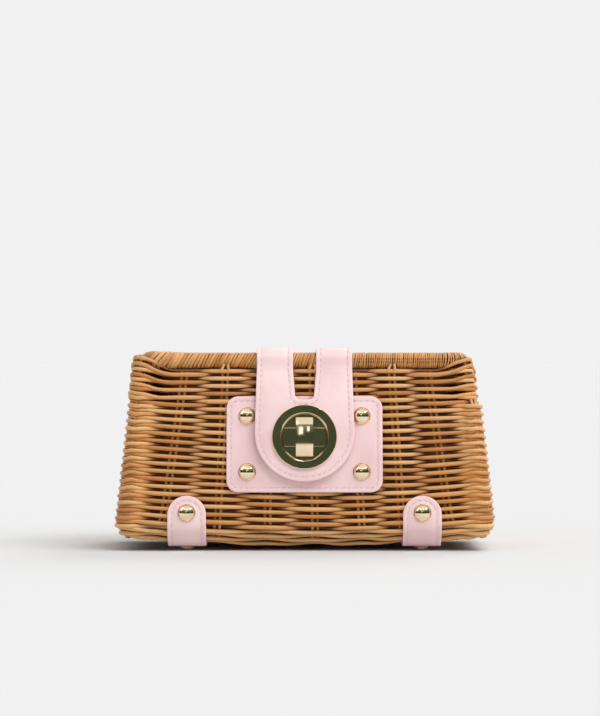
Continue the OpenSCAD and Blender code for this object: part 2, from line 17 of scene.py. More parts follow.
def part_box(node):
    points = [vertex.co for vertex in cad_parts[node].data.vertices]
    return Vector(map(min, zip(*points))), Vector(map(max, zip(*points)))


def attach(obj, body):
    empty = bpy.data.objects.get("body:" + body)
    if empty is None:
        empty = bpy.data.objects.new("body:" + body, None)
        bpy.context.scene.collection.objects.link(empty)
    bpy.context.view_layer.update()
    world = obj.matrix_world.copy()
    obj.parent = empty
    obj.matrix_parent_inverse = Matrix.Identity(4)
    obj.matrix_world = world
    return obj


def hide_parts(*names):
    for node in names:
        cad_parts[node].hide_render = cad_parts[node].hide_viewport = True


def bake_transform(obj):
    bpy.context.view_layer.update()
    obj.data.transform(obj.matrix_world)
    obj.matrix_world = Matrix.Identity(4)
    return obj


bl_info = {
    "name": "Cane box bag",
    "version": (1, 0, 0),
    "blender": (4, 5, 0),
    "location": "View3D > Sidebar > Bag",
    "description": "Weave, leather and metal of a cane box bag",
    "category": "Object",
}

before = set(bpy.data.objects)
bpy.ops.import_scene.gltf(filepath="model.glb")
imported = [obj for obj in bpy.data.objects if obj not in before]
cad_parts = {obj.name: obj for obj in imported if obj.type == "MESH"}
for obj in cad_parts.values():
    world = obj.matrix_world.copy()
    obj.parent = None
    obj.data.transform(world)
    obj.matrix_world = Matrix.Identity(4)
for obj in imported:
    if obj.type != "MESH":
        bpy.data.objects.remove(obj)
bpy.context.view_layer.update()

MM = 0.001

# Shape of the basket, in millimetres, as the model has it
BASE_W, RIM_W = 235.0, 214.0
BASE_D, RIM_D = 98.0, 74.0
RIM_Z, BULGE_Z, TUCK_IN = 113.0, 18.0, 18.0
UNDER_Z, EDGE_LIFT, LIFT_POWER, SIDE_LIFT = 4.0, 4.5, 2.5, 0.75
BASE_CORNER_R, RIM_CORNER_R = 14.0, 8.0
RISE_RIGHT, RISE_LEFT, RISE_POWER = 7.5, 9.5, 8
RISE_FROM, RISE_OVER, RISE_OUT = 80.0, 26.0, 0.7
BOW, BOW_RIGHT, PULL_IN, PULL_LOW = 1.8, 2.6, 0.9, 90.0
# In places round the wall: where the rise fades past the corner, and how far a corner's bow reaches
RISE_FADES, RISE_FADE, BOW_REACH, BOW_FADE = 1.6, 0.7, 0.3, 0.28
WALL_T = 5.6
SEAT = 0.2
LEATHER_T = 2.4
TILT = math.atan((BASE_D - RIM_D) / 2 / (RIM_Z - BULGE_Z))
ROLL_R, ROLL_Z, ROLL_X, ROLL_Y, ROLL_CORNER_R = 5.1, 118.4, 97.9, 31.9, 12.0
PANEL_TOP = 121.2
WALL_ROWS, WALE_STRANDS, STAKE_PAIRS = 46, 4, 24

# Stake pairs of the front wall: place along X at the base and at the rim
FRONT_STAKES = (
    (-89.6, -74.4), (-54.6, -49.3), (-23.0, -22.5), (6.7, 5.0),
    (36.3, 30.0), (61.4, 54.3), (92.0, 76.6),
)
SIDE_SHARES = (-0.62, 0.0, 0.62)


# Sizes and colours that a user would change
class BagSizes(bpy.types.PropertyGroup):
    strand_d: FloatProperty(
        name="Strand", description="Diameter of a weaving strand",
        default=2.85 * MM, unit="LENGTH")
    stake_d: FloatProperty(
        name="Stake", description="Diameter of an upright stake",
        default=1.95 * MM, unit="LENGTH")
    stake_gap: FloatProperty(
        name="Stake spacing", description="Distance between the two stakes of a pair",
        default=3.3 * MM, unit="LENGTH")
    wrap_wide: FloatProperty(
        name="Wide wrapping", description="Width of the cane wrapped round the roll's left end",
        default=2.1 * MM, unit="LENGTH")
    wrap_narrow: FloatProperty(
        name="Narrow wrapping", description="Width of the cane wrapped round the roll's right end",
        default=1.25 * MM, unit="LENGTH")
    stitch_pitch: FloatProperty(
        name="Stitch", description="Distance from one stitch to the next",
        default=3.7 * MM, unit="LENGTH")
    stitch_inset: FloatProperty(
        name="Stitch margin", description="Distance of a seam from the leather's edge",
        default=2.9 * MM, unit="LENGTH")
    thread_d: FloatProperty(
        name="Thread", description="Diameter of the sewing thread",
        default=0.75 * MM, unit="LENGTH")


class BagColours(bpy.types.PropertyGroup):
    cane: FloatVectorProperty(
        name="Cane", description="Main colour of the cane",
        default=(0.62, 0.250, 0.053), subtype="COLOR", min=0, max=1)
    cane_pale: FloatVectorProperty(
        name="Pale cane", description="Colour of the palest strands",
        default=(0.80, 0.46, 0.19), subtype="COLOR", min=0, max=1)
    cane_deep: FloatVectorProperty(
        name="Deep cane", description="Colour of the darkest strands",
        default=(0.28, 0.080, 0.010), subtype="COLOR", min=0, max=1)
    # Painted shade: the weave's colour is darkened towards this deep between the strands
    cane_shade: FloatVectorProperty(
        name="Shaded cane", description="Colour of the cane deep between the strands",
        default=(0.070, 0.010, 0.001), subtype="COLOR", min=0, max=1)
    leather: FloatVectorProperty(
        name="Leather", description="Colour of the leather",
        default=(0.92, 0.69, 0.68), subtype="COLOR", min=0, max=1)
    thread: FloatVectorProperty(
        name="Thread", description="Colour of the sewing thread",
        default=(0.83, 0.62, 0.64), subtype="COLOR", min=0, max=1)
    gold: FloatVectorProperty(
        name="Metal", description="Colour of the polished metal",
        default=(0.99, 0.80, 0.55), subtype="COLOR", min=0, max=1)


def sizes():
    return bpy.context.scene.bag_sizes


def colours():
    return bpy.context.scene.bag_colours


# Shape of the woven walls

# A place q runs round the wall from 0 to 8, from the front's left end: it is on a side from an even
# number to the next, and on a corner from an odd one. A share f of the wall runs from its foot to its rim.
# Steps of a strand from one stake pair to the next, along a side and past a corner
SIDE_STEPS, CORNER_STEPS = 6, 10


def half_size(z, wide, rim):
    """Half of the basket's width or depth at height z: it tucks in below its widest place."""
    if z > BULGE_Z:
        return (wide - (wide - rim) * (z - BULGE_Z) / (RIM_Z - BULGE_Z)) / 2
    return (wide - 2 * TUCK_IN * ((BULGE_Z - z) / BULGE_Z) ** 2) / 2


def half_w(z):
    return half_size(z, BASE_W, RIM_W)


def half_d(z):
    return half_size(z, BASE_D, RIM_D)


def corner_r(z):
    return BASE_CORNER_R + (RIM_CORNER_R - BASE_CORNER_R) * z / RIM_Z


def stretches(z):
    """Lengths of the eight stretches of the wall at height z, from the front's left end."""
    r = corner_r(z)
    w, d = 2 * (half_w(z) - r), 2 * (half_d(z) - r)
    arc = math.pi * r / 2
    return (w, arc, d, arc, w, arc, d, arc)


def wall_place(q, z, depth):
    """A point on the wall at place q, z high, depth inside the outermost strands, and its outward angle."""
    q %= 8
    side, t = int(q), q % 1
    quarter = side // 2
    r = corner_r(z)
    across, out = half_w(z) - r, half_d(z)
    if quarter % 2:
        across, out = half_d(z) - r, half_w(z)
    angle = math.radians(90 * quarter - 90)
    tangent = Vector((-math.sin(angle), math.cos(angle), 0))
    normal = Vector((math.cos(angle), math.sin(angle), 0))
    depth -= corner_bow(q, z)
    up = Vector((0, 0, z))
    if side % 2 == 0:
        return tangent * ((2 * t - 1) * across) + normal * (out - depth) + up, angle
    turned = angle + math.radians(90 * t)
    centre = tangent * across + normal * (out - r)
    return centre + Vector((math.cos(turned), math.sin(turned), 0)) * (r - depth) + up, turned


def edge_share(q):
    """How near place q is to a corner: 0 in the middle of a side, 1 all round the corner."""
    q %= 8
    return abs(2 * (q % 1) - 1) if int(q) % 2 == 0 else 1.0


def smooth(t):
    """Eases a share from 0 to 1."""
    t = min(max(t, 0.0), 1.0)
    return t * t * (3 - 2 * t)


def rise_share(q):
    """How far the top right corner of the front has swept up at place q, as a share."""
    straight = RIM_W / 2 - RIM_CORNER_R
    along = (2 * q - 1) * straight if q < 1 else straight + (q - 1) * math.pi / 2 * RIM_CORNER_R
    return smooth((along - RISE_FROM) / RISE_OVER) * (1 - smooth((q - RISE_FADES) / RISE_FADE))


def rim_rise(q):
    """How far the rim sweeps up at place q."""
    return RISE_RIGHT * rise_share(q % 8) + RISE_LEFT * rise_share((1 - q) % 8)


def corner_bow(q, z):
    """How far the strands bow out round a corner: the top right one is woven tighter."""
    share = 1 - smooth((abs((q - 0.5) % 2 - 1) - BOW_REACH) / BOW_FADE)
    if not 0.5 < q % 8 < 2.5:
        return share * BOW
    tight = smooth((z - PULL_LOW) / 3)
    return share * (BOW_RIGHT * (1 - tight) - PULL_IN * tight)


def wall_z(q, f):
    """Height of the strand at share f of the wall, at place q: it rises towards the corners."""
    lift = edge_share(q) ** LIFT_POWER
    if int(q % 8) % 4 == 2:
        lift = SIDE_LIFT + (1 - SIDE_LIFT) * lift
    low = UNDER_Z + EDGE_LIFT * lift
    return low * (1 - f) + RIM_Z * f + rim_rise(q) * f ** RISE_POWER


def stake_places(f):
    """Places of all the stake pairs round the wall, at share f of its height."""
    z = UNDER_Z + (RIM_Z - UNDER_Z) * f
    across = half_w(z) - corner_r(z)
    front = [(1 + (a + (b - a) * f) / across) / 2 for a, b in FRONT_STAKES]
    side = [(1 + s) / 2 for s in SIDE_SHARES]
    return (front + [1.5] + [2 + s for s in side] + [3.5]
            + [5 - s for s in reversed(front)] + [5.5] + [6 + s for s in side] + [7.5])


def run_of(lengths):
    """Distance from the start at each end of some lengths that follow one another."""
    return list(accumulate(lengths, initial=0.0))


def along_of(q, run):
    """Distance round the wall at place q."""
    side = int(q % 8)
    return run[side] + (q % 1) * (run[side + 1] - run[side]) + (q // 8) * run[-1]


def place_of(along, run):
    """Place at a distance round the wall."""
    turns, rest = divmod(along, run[-1])
    side = min(max(bisect_left(run, rest) - 1, 0), 7)
    return 8 * turns + side + (rest - run[side]) / (run[side + 1] - run[side])


def round_the_wall(f, steps=SIDE_STEPS):
    """Places round the wall at share f: (place, stake number, share of the way to the next stake)."""
    run = run_of(stretches(UNDER_Z + (RIM_Z - UNDER_Z) * f))
    stakes = stake_places(f)
    at = [along_of(q, run) for q in stakes] + [along_of(stakes[0], run) + run[-1]]
    out = []
    for i in range(STAKE_PAIRS):
        near_corner = any(stakes[j % STAKE_PAIRS] % 2 == 1.5 for j in (i, i + 1))
        n = CORNER_STEPS if near_corner else steps
        for j in range(n):
            t = j / n
            out.append((place_of(at[i] + (at[i + 1] - at[i]) * t, run), i, t))
    return out


# Making of meshes
def link(name, mesh):
    thing = bpy.data.objects.new(name, mesh)
    bpy.context.scene.collection.objects.link(thing)
    return thing


def piece(name, mesh, body, finish, stands_for=(), sharp_deg=None):
    """A finished piece: its mesh comes in millimetres, and it rides on a body, or stays in place when given
    two.
    """
    mesh.transform(Matrix.Scale(MM, 4))
    mesh.materials.clear()
    mesh.materials.append(finish_of(finish))
    mesh.polygons.foreach_set("use_smooth", [True] * len(mesh.polygons))
    if sharp_deg is not None:
        mesh.set_sharp_from_angle(angle=math.radians(sharp_deg))
    thing = link(name, mesh)
    if isinstance(body, tuple):
        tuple(body[2])
        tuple(body[3])
        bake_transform(thing)
    else:
        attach(thing, body)
    if stands_for:
        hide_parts(*stands_for)


def mesh_of(bm, name):
    mesh = bpy.data.meshes.new(name)
    bm.to_mesh(mesh)
    bm.free()
    return mesh


def wall_depth(points):
    """How deep points lie inside the outermost strands, and the outward direction there."""
    x, y, z = points.T
    low = BULGE_Z
    share = (z - low) / (RIM_Z - low)
    under = TUCK_IN * ((low - np.minimum(z, low)) / low) ** 2
    w = np.where(z > low, (BASE_W + (RIM_W - BASE_W) * share) / 2, BASE_W / 2 - under)
    d = np.where(z > low, (BASE_D + (RIM_D - BASE_D) * share) / 2, BASE_D / 2 - under)
    r = BASE_CORNER_R + (RIM_CORNER_R - BASE_CORNER_R) * z / RIM_Z
    past_x, past_y = np.abs(x) - (w - r), np.abs(y) - (d - r)
    out_x, out_y = np.maximum(past_x, 0), np.maximum(past_y, 0)
    length = np.hypot(out_x, out_y)
    flat = length < 1e-6
    out_x = np.where(flat, (past_x > past_y) * 1.0, out_x) * np.sign(x)
    out_y = np.where(flat, (past_x <= past_y) * 1.0, out_y) * np.sign(y)
    out = np.stack((out_x, out_y, np.zeros_like(out_x)), 1)
    out /= np.linalg.norm(out, axis=1, keepdims=True)
    return r - length - np.minimum(np.maximum(past_x, past_y), 0), out


# Painted shade in the middle of the wall, on the side of a strand, and of the stakes against that
MIDDLE_SHADE, SIDE_SHADE, STAKE_SHADE = 0.85, 0.55, 0.3
# Share of the half wall that the shaded middle takes up, and share over which it fades
MIDDLE_REACH, MIDDLE_FADE = 0.7, 0.6


def wall_shade(points, normals):
    """Share of painted shade in the weave: dark in the middle of the wall and between two strands."""
    depth, out = wall_depth(points)
    middle = np.clip((MIDDLE_REACH - np.abs(2 * depth / WALL_T - 1)) / MIDDLE_FADE, 0, 1)
    middle = middle * middle * (3 - 2 * middle)
    facing = np.abs((normals * out).sum(1))
    return np.clip(MIDDLE_SHADE * middle + SIDE_SHADE * (1 - facing) ** 2, 0, 1)


def stake_shade(points, normals):
    return STAKE_SHADE * wall_shade(points, normals)


def swept(name, lines, sides, closed):
    """Mesh of round rods along lines, each with its points and its radii."""
    curve = bpy.data.curves.new(name, "CURVE")
    curve.dimensions = "3D"
    curve.twist_mode = "Z_UP" if closed else "MINIMUM"
    curve.bevel_depth = 1.0
    curve.bevel_resolution = (sides - 4) // 2
    curve.use_fill_caps = not closed
    for points, radii, *_ in lines:
        spline = curve.splines.new("POLY")
        spline.points.add(len(points) - 1)
        spline.points.foreach_set("co", [c for p in points for c in (*p, 1.0)])
        spline.points.foreach_set("radius", radii)
        spline.use_cyclic_u = closed
    thing = link(name, curve)
    depsgraph = bpy.context.evaluated_depsgraph_get()
    mesh = bpy.data.meshes.new_from_object(thing.evaluated_get(depsgraph))
    mesh.name = name
    bpy.data.objects.remove(thing)
    bpy.data.curves.remove(curve)
    while mesh.uv_layers:
        mesh.uv_layers.remove(mesh.uv_layers[0])
    return mesh


def nearest_points(mesh, lines):
    """For each vertex, what is known of the nearest point of the lines: its distance along its line,
    tone, place and outward direction."""
    tree = KDTree(sum(len(line[0]) for line in lines))
    known = []
    for points, _, tone, *outs in lines:
        run = run_of((Vector(b) - Vector(a)).length for a, b in zip(points, points[1:]))
        for i, p in enumerate(points):
            tree.insert(p, len(known))
            known.append((run[i], tone, p, outs[0][i] if outs else (0, 0, 0)))
    tree.balance()
    return [known[tree.find(v.co)[1]] for v in mesh.vertices]


# The grain pattern: how fast it runs along a cane, how far canes differ, and how fine it is round one
GRAIN_ALONG, GRAIN_APART, GRAIN_ROUND = 0.07, 50, 2.2


def rods(name, lines, shade, sides=8, closed=False, flat=1.0):
    """Mesh of round canes. Each line is (points, radii, tone), and may hold outward directions
    along which the cane is made flat. The mesh gets tone, grain and shade attributes."""
    mesh = swept(name, lines, sides, closed)
    found = nearest_points(mesh, lines)
    normals = np.array([n.vector for n in mesh.vertex_normals], np.float32)
    places = np.array([v.co for v in mesh.vertices], np.float32)
    if flat != 1.0:
        outs = np.array([out for _, _, _, out in found], np.float32)
        middles = np.array([p for _, _, p, _ in found], np.float32)
        rise = ((places - middles) * outs).sum(1, keepdims=True)
        places -= outs * rise * (1 - flat)
        mesh.vertices.foreach_set("co", places.ravel())
    slide = np.array([(run * GRAIN_ALONG, tone * GRAIN_APART, 0) for run, tone, _, _ in found],
                     np.float32)
    # The shade attribute is painted shade: the cane finish darkens its colour by it
    for key, kind, field, values in (
            ("tone", "FLOAT", "value", [tone for _, tone, _, _ in found]),
            ("grain", "FLOAT_VECTOR", "vector", (normals * GRAIN_ROUND + slide).ravel()),
            ("shade", "FLOAT", "value", shade(places, normals).astype(np.float32))):
        mesh.attributes.new(key, kind, "POINT").data.foreach_set(field, values)
    return mesh


def draw_out(bm, faces, by):
    """Draws flat faces out by a vector, which makes a solid of them."""
    raised = bmesh.ops.extrude_face_region(bm, geom=faces)
    verts = [part for part in raised["geom"] if isinstance(part, bmesh.types.BMVert)]
    bmesh.ops.translate(bm, vec=by, verts=verts)
    bmesh.ops.recalc_face_normals(bm, faces=bm.faces)


def ease(bm, edges, width, segments):
    """Rounds off some edges of a solid."""
    bmesh.ops.bevel(bm, geom=edges, offset=width, offset_type="OFFSET", segments=segments,
                    profile=0.5, affect="EDGES", material=-1)


def slice_across(bm, at, along):
    """Cuts every face at a plane through the point at, square to the direction along."""
    bmesh.ops.bisect_plane(bm, geom=bm.verts[:] + bm.edges[:] + bm.faces[:],
                           plane_co=at, plane_no=along, dist=1e-5)


def fill_with_hole(bm, loops):
    """Faces between an outer loop of vertices and the loop of a hole."""
    edges = [bm.edges.new((loop[i - 1], loop[i])) for loop in loops for i in range(len(loop))]
    bmesh.ops.triangle_fill(bm, use_beauty=True, edges=edges)
    rim = set(loops[1])
    plug = [f for f in bm.faces if rim.issuperset(f.verts)]
    bmesh.ops.delete(bm, geom=plug, context="FACES_ONLY")


def join_meshes(name, meshes):
    """One mesh of several, with their attributes."""
    bm = bmesh.new()
    for mesh in meshes:
        bm.from_mesh(mesh)
        bpy.data.meshes.remove(mesh)
    return mesh_of(bm, name)


def turned_shape(profile, steps):
    """A shape turned round Z from its profile of (radius, height) points."""
    bm = bmesh.new()
    verts = [bm.verts.new((max(r, 0.0), 0, z)) for r, z in profile]
    edges = [bm.edges.new(pair) for pair in zip(verts, verts[1:])]
    bmesh.ops.spin(bm, geom=verts + edges, cent=(0, 0, 0), axis=(0, 0, 1),
                   angle=math.tau, steps=steps, use_merge=True)
    bmesh.ops.remove_doubles(bm, verts=bm.verts, dist=1e-4)
    bmesh.ops.recalc_face_normals(bm, faces=bm.faces)
    return bm


def copies(name, bm, places):
    """Mesh with a copy of a shape at each of some places."""
    source = mesh_of(bm, name + "_one")
    out = bmesh.new()
    for matrix in places:
        known = len(out.verts)
        out.from_mesh(source)
        out.verts.ensure_lookup_table()
        bmesh.ops.transform(out, matrix=matrix, verts=out.verts[known:])
    bpy.data.meshes.remove(source)
    return mesh_of(out, name)


def front_frame(x, z, back=False):
    """Matrix of a place on the front wall: Z points out of the wall and Y up along it."""
    side = 1 if back else -1
    out = Vector((0, side * math.cos(TILT), math.sin(TILT)))
    up = Vector((0, -side * math.sin(TILT), math.cos(TILT)))
    across = up.cross(out)
    matrix = Matrix((across, up, out)).transposed().to_4x4()
    return Matrix.Translation((x, side * half_d(z), z)) @ matrix


def lid_frame(x, y):
    """Matrix of a place on top of the lid's panel."""
    return Matrix.Translation((x, y, PANEL_TOP))


# Finishes
class Wire:
    """A value or colour in a material that takes part in sums."""

    def __init__(self, finish, socket):
        self.finish = finish
        self.socket = socket

    def maths(self, operation, first, second):
        return self.finish.node("Math", {"operation": operation}, (first, second))

    def __add__(self, other):
        return self.maths("ADD", self, other)

    __radd__ = __add__

    def __mul__(self, other):
        return self.maths("MULTIPLY", self, other)

    __rmul__ = __mul__

    def __sub__(self, other):
        return self.maths("SUBTRACT", self, other)

    def __rsub__(self, other):
        return self.maths("SUBTRACT", other, self)

class Finish:
    """A material being made."""

    def __init__(self, name):
        self.material = bpy.data.materials.new(name)
        self.material.use_nodes = True
        self.tree = self.material.node_tree
        self.shader = self.tree.nodes["Principled BSDF"]
        self.output = self.tree.nodes["Material Output"]

    def node(self, kind, settings, inputs=(), output=0):
        """Adds a node: settings first, then values or links of its sockets."""
        node = self.tree.nodes.new("ShaderNode" + kind)
        for key, value in settings.items():
            setattr(node, key, value)
        pairs = inputs.items() if isinstance(inputs, dict) else enumerate(inputs)
        for key, value in pairs:
            self.feed(node.inputs[key], value)
        return Wire(self, node.outputs[output])

    def feed(self, socket, value):
        if isinstance(value, Wire):
            self.tree.links.new(value.socket, socket)
        elif value is not None:
            socket.default_value = value

    def mix(self, share, first, second):
        first, second = [c if isinstance(c, Wire) else (*c[:3], 1) for c in (first, second)]
        return self.node("Mix", {"data_type": "RGBA"}, {0: share, 6: first, 7: second}, output=2)

    def noise(self, vector, scale, detail, rough):
        return self.node("TexNoise", {}, {
            "Vector": vector, "Scale": scale, "Detail": detail, "Roughness": rough})

    def ramp(self, value, low, high):
        return self.node("MapRange", {}, {
            "Value": value, "From Min": low, "From Max": high, "To Min": 0.0, "To Max": 1.0})

    def place(self):
        """Object coordinates."""
        return self.node("TexCoord", {}, output=3)

    def attribute(self, name, vector=False):
        return self.node("Attribute", {"attribute_name": name}, output=1 if vector else 2)

    def bump(self, height, strength, distance, over=None):
        return self.node("Bump", {}, {
            "Height": height, "Strength": strength, "Distance": distance, "Normal": over})

    def surface(self, **sockets):
        """Feeds the shader's sockets, and gives the finished material."""
        for key, value in sockets.items():
            name = key.replace("_", " ").title().replace("Ior", "IOR")
            if isinstance(value, tuple) and len(value) == 3:
                value = (*value, 1)
            self.feed(self.shader.inputs[name], value)
        return self.material


def cane_finish(name, deep=0.0):
    """Honey cane: strands differ in tone, with streaks along the grain and darker flecks; painted shade
    darkens it deep in the weave.
    """
    c = colours()
    f = Finish(name)
    grain = f.attribute("grain", vector=True)
    tone = f.attribute("tone")
    streak = f.noise(grain, 1.6, 3.0, 0.6)
    patch = f.noise(f.place(), 55.0, 2.0, 0.5)
    fleck = f.noise(grain, 5.0, 3.0, 0.7)
    pale = f.ramp(tone * 0.55 + streak * 0.45 + patch * 0.35, 0.42, 0.98)
    colour = f.mix(pale, c.cane, c.cane_pale)
    dark = f.ramp(tone * -0.5 + streak * 0.6 + patch * 0.55 + 0.1 + deep, 0.42, 0.88)
    colour = f.mix(dark * 0.75, colour, c.cane_deep)
    spots = f.ramp(fleck, 0.62, 0.78)
    colour = f.mix(spots * 0.35, colour, c.cane_deep)
    # Painted shade: darker towards the shaded cane colour, and with less coat, where the weave lies deep
    shade = f.attribute("shade")
    colour = f.mix(f.ramp(shade + streak * 0.12, 0.1, 0.95), colour, c.cane_shade)
    ridge = f.noise(grain, 9.0, 2.0, 0.6)
    normal = f.bump(ridge * 0.6 + streak * 0.4, 0.35, 0.12 * MM)
    return f.surface(base_color=colour, roughness=streak * 0.22 + 0.30, normal=normal,
                     specular_ior_level=0.3,
                     coat_weight=(1 - shade) * 0.25, coat_roughness=0.25)


def leather_finish(name):
    """Smooth pale leather: a fine pore grain and a soft sheen."""
    c = colours()
    f = Finish(name)
    place = f.place()
    cloud = f.noise(place, 38.0, 3.0, 0.55)
    pore = f.node("TexVoronoi", {"feature": "DISTANCE_TO_EDGE"}, {
        "Vector": place, "Scale": 1500.0})
    fine = f.noise(place, 900.0, 3.0, 0.6)
    deep = tuple(a * b for a, b in zip(c.leather, (0.93, 0.84, 0.86)))
    colour = f.mix(f.ramp(cloud, 0.35, 0.72), c.leather, deep)
    colour = f.mix(f.ramp(fine, 0.55, 0.8) * 0.12, colour, tuple(v * 0.75 for v in deep))
    normal = f.bump(f.ramp(pore, 0.0, 0.25), 0.10, 0.06 * MM)
    normal = f.bump(cloud, 0.25, 0.25 * MM, normal)
    return f.surface(base_color=colour, roughness=cloud * 0.16 + 0.36, normal=normal,
                     coat_weight=0.12, coat_roughness=0.2)


def thread_finish(name):
    """Matt thread with the fine unevenness of its twist."""
    c = colours()
    f = Finish(name)
    place = f.place()
    twist = f.noise(place, 1400.0, 1.0, 0.5)
    colour = f.mix(twist, c.thread, tuple(v * 0.8 for v in c.thread))
    return f.surface(base_color=colour, roughness=0.6,
                     normal=f.bump(twist, 0.4, 0.1 * MM))


GOLD_SMEAR = (0.93, 0.70, 0.43)


def gold_finish(name, worn=0.0):
    """Polished pale metal with hairline scratches and faint smears."""
    c = colours()
    f = Finish(name)
    place = f.place()
    smear = f.noise(place, 120.0, 3.0, 0.6)
    hair = f.noise(f.node("Mapping", {}, {"Vector": place, "Scale": (300.0, 300.0, 5000.0)}),
                   1.0, 2.0, 0.6)
    colour = f.mix(f.ramp(smear, 0.45, 0.8) * 0.3, c.gold, GOLD_SMEAR)
    rough = f.ramp(smear, 0.4, 0.8) * 0.07 + 0.07 + worn
    return f.surface(base_color=colour, metallic=1.0, roughness=rough,
                     normal=f.bump(hair, 0.02, 0.02 * MM))


# Each finish: a slot name, the function that makes it, and what that function is given
FINISHES = {
    "cane": ("cane", cane_finish, "cane"),
    "cane_inner": ("cane", cane_finish, "cane_inner", 0.25),
    "leather": ("leather", leather_finish, "leather"),
    "thread": ("leather", thread_finish, "thread"),
    "gold": ("gold_metal", gold_finish, "polished_gold"),
    "gold_worn": ("gold_metal", gold_finish, "rubbed_gold", 0.16),
}


@cache
def finish_of(kind):
    """The one material of each kind, made when it is first wanted."""
    _, make, *values = FINISHES[kind]
    return make(*values)


# Cane pieces

# Depths in the wall, from its outermost strands: beside a stake pair and at a corner
OUT_DEPTH, IN_DEPTH = 0.75, 4.6
CORNER_OUT, CORNER_IN = 0.9, 2.9
RIM_GAP, RIM_STRAND_DEPTH, RIM_STRAND_TONE = 0.55, 3.3, 0.3
CORNER_STAKES = (7, 11, 19, 23)
# Dark gaps between strands at the top front corners: place along X and reach, and their rows
CORNER_GAPS = ((-92.0, 7.0), (94.0, 7.0))
CORNER_GAP_ROWS, CORNER_GAP = (37, 45), 0.95
BOUND_ROW = 37
# The slow sway of all strands: swing, and how it turns round the wall and up it
SWAYS = ((0.55, 5, 4, 1), (0.4, 11, -7, 0), (0.28, 17, 9, 2))
# Of each strand: spread of its radius, of how far it is pushed in, and of its own waves
STRAND_SPREAD, NUDGE_SPREAD, WAVE_SPREAD = (0.91, 1.07), (-0.35, 0.45), (0.02, 0.07)
WAVE_COUNTS = (3, 5, 7, 11)
# How much a strand swells and thins along its length, and how much it thins beside a dark gap
STRAND_SWELL, GAP_THIN = 0.04, 0.16
# The wale: how far its strands dip between stakes, how that lessens upwards, swing and depth
WALE_DIP, WALE_DIP_LESS, WALE_SWING, WALE_DEPTH, WALE_PLUMP = 0.9, 0.22, 0.55, 2.3, 1.04
# Stakes: share of the wall where they start, share that they span, and their depth
STAKE_FROM, STAKE_SPAN, STAKE_DEPTH, STAKE_STEPS = 0.03, 0.954, 2.0, 14
# Stake pairs whose bent tips show over the rim, and how far each tip leans to the right
STAKE_TIPS = ((1, 0.7), (3, 0.4), (5, 0.8))
# A tip's points: aside, share of the lean, outwards, up from the rim, and share of the radius
TIP_POINTS = ((0.5, 0, -1.0, -1.8, 0.95), (0.3, 0, 0.4, 0.4, 0.95), (-0.6, 0.6, 0.5, 3.3, 0.75))


def gap_shift(k, x, y):
    """Strands near the top front corners lie in pairs, with a dark gap between the pairs."""
    if y > 0 or not CORNER_GAP_ROWS[0] <= k <= CORNER_GAP_ROWS[1]:
        return 0.0
    side = 1 if k % 2 else -1
    return side * CORNER_GAP * sum(math.exp(-((x - at) / wide) ** 2) for at, wide in CORNER_GAPS)


def sway(q, f):
    """The slow rise and fall that all the strands of one height share."""
    turn = q * math.tau / 8
    swayed = sum(a * math.sin(n * turn + m * f + start) for a, n, m, start in SWAYS)
    return swayed * math.sin(math.pi * min(f * 1.02, 1))


class BAG_OT_weave(bpy.types.Operator):
    """Weaves the four walls: each strand passes outside one stake pair and inside the next"""
    bl_idname = "bag.weave"
    bl_label = "Woven walls"

    def execute(self, context):
        rng = random.Random(11)
        base_r = sizes().strand_d / MM / 2
        lines = [self.strand(k, base_r, rng) for k in range(WALE_STRANDS, WALL_ROWS)]
        lines.append(self.rim_strand(base_r))
        mesh = rods("woven_strands", lines, closed=True, shade=wall_shade)
        piece("woven_strands", mesh, "basket", "cane", ["basket_walls"])
        return {"FINISHED"}

    def strand(self, k, base_r, rng):
        """Strand k, counted from the lowest of the wale."""
        f = (k + 0.5) / WALL_ROWS
        tone = rng.random()
        r = base_r * rng.uniform(*STRAND_SPREAD)
        waves = [(rng.uniform(0, math.tau), rng.choice(WAVE_COUNTS), rng.uniform(*WAVE_SPREAD))
                 for _ in range(3)]
        nudges = [rng.uniform(*NUDGE_SPREAD) for _ in range(STAKE_PAIRS)]
        points, radii = [], []
        for q, i, t in round_the_wall(f):
            z = (wall_z(q, f) + sway(q, f)
                 + sum(a * math.sin(n * q * math.tau / 8 + p) for p, n, a in waves))
            near, far = [self.depth_at(j % STAKE_PAIRS, k, nudges) for j in (i, i + 1)]
            depth = near + (far - near) * (0.5 - 0.5 * math.cos(math.pi * t))
            if q % 8 < 1:
                depth -= RISE_OUT * min(rim_rise(q) / 5, 1) * f ** RISE_POWER
            at, _ = wall_place(q, z, depth)
            shift = gap_shift(k, at.x, at.y)
            at.z += shift
            points.append(tuple(at))
            radii.append(r * (1 + STRAND_SWELL * math.sin(9 * q + k)) * (1 - GAP_THIN * abs(shift)))
        return points, radii, tone

    def depth_at(self, j, k, nudges):
        """How deep in the wall strand k passes stake pair j."""
        corner = j in CORNER_STAKES
        if (j + k) % 2 == 0 or k >= BOUND_ROW and corner:
            return CORNER_OUT if corner else OUT_DEPTH
        return CORNER_IN if corner else IN_DEPTH + nudges[j]

    def rim_strand(self, r):
        """The strand inside the rim that the lid's roll lies over."""
        f = 1 - (r + SEAT - RIM_GAP) / RIM_Z
        points = [tuple(wall_place(q, wall_z(q, f), RIM_STRAND_DEPTH)[0])
                  for q, _, _ in round_the_wall(f)]
        return points, [r] * len(points), RIM_STRAND_TONE


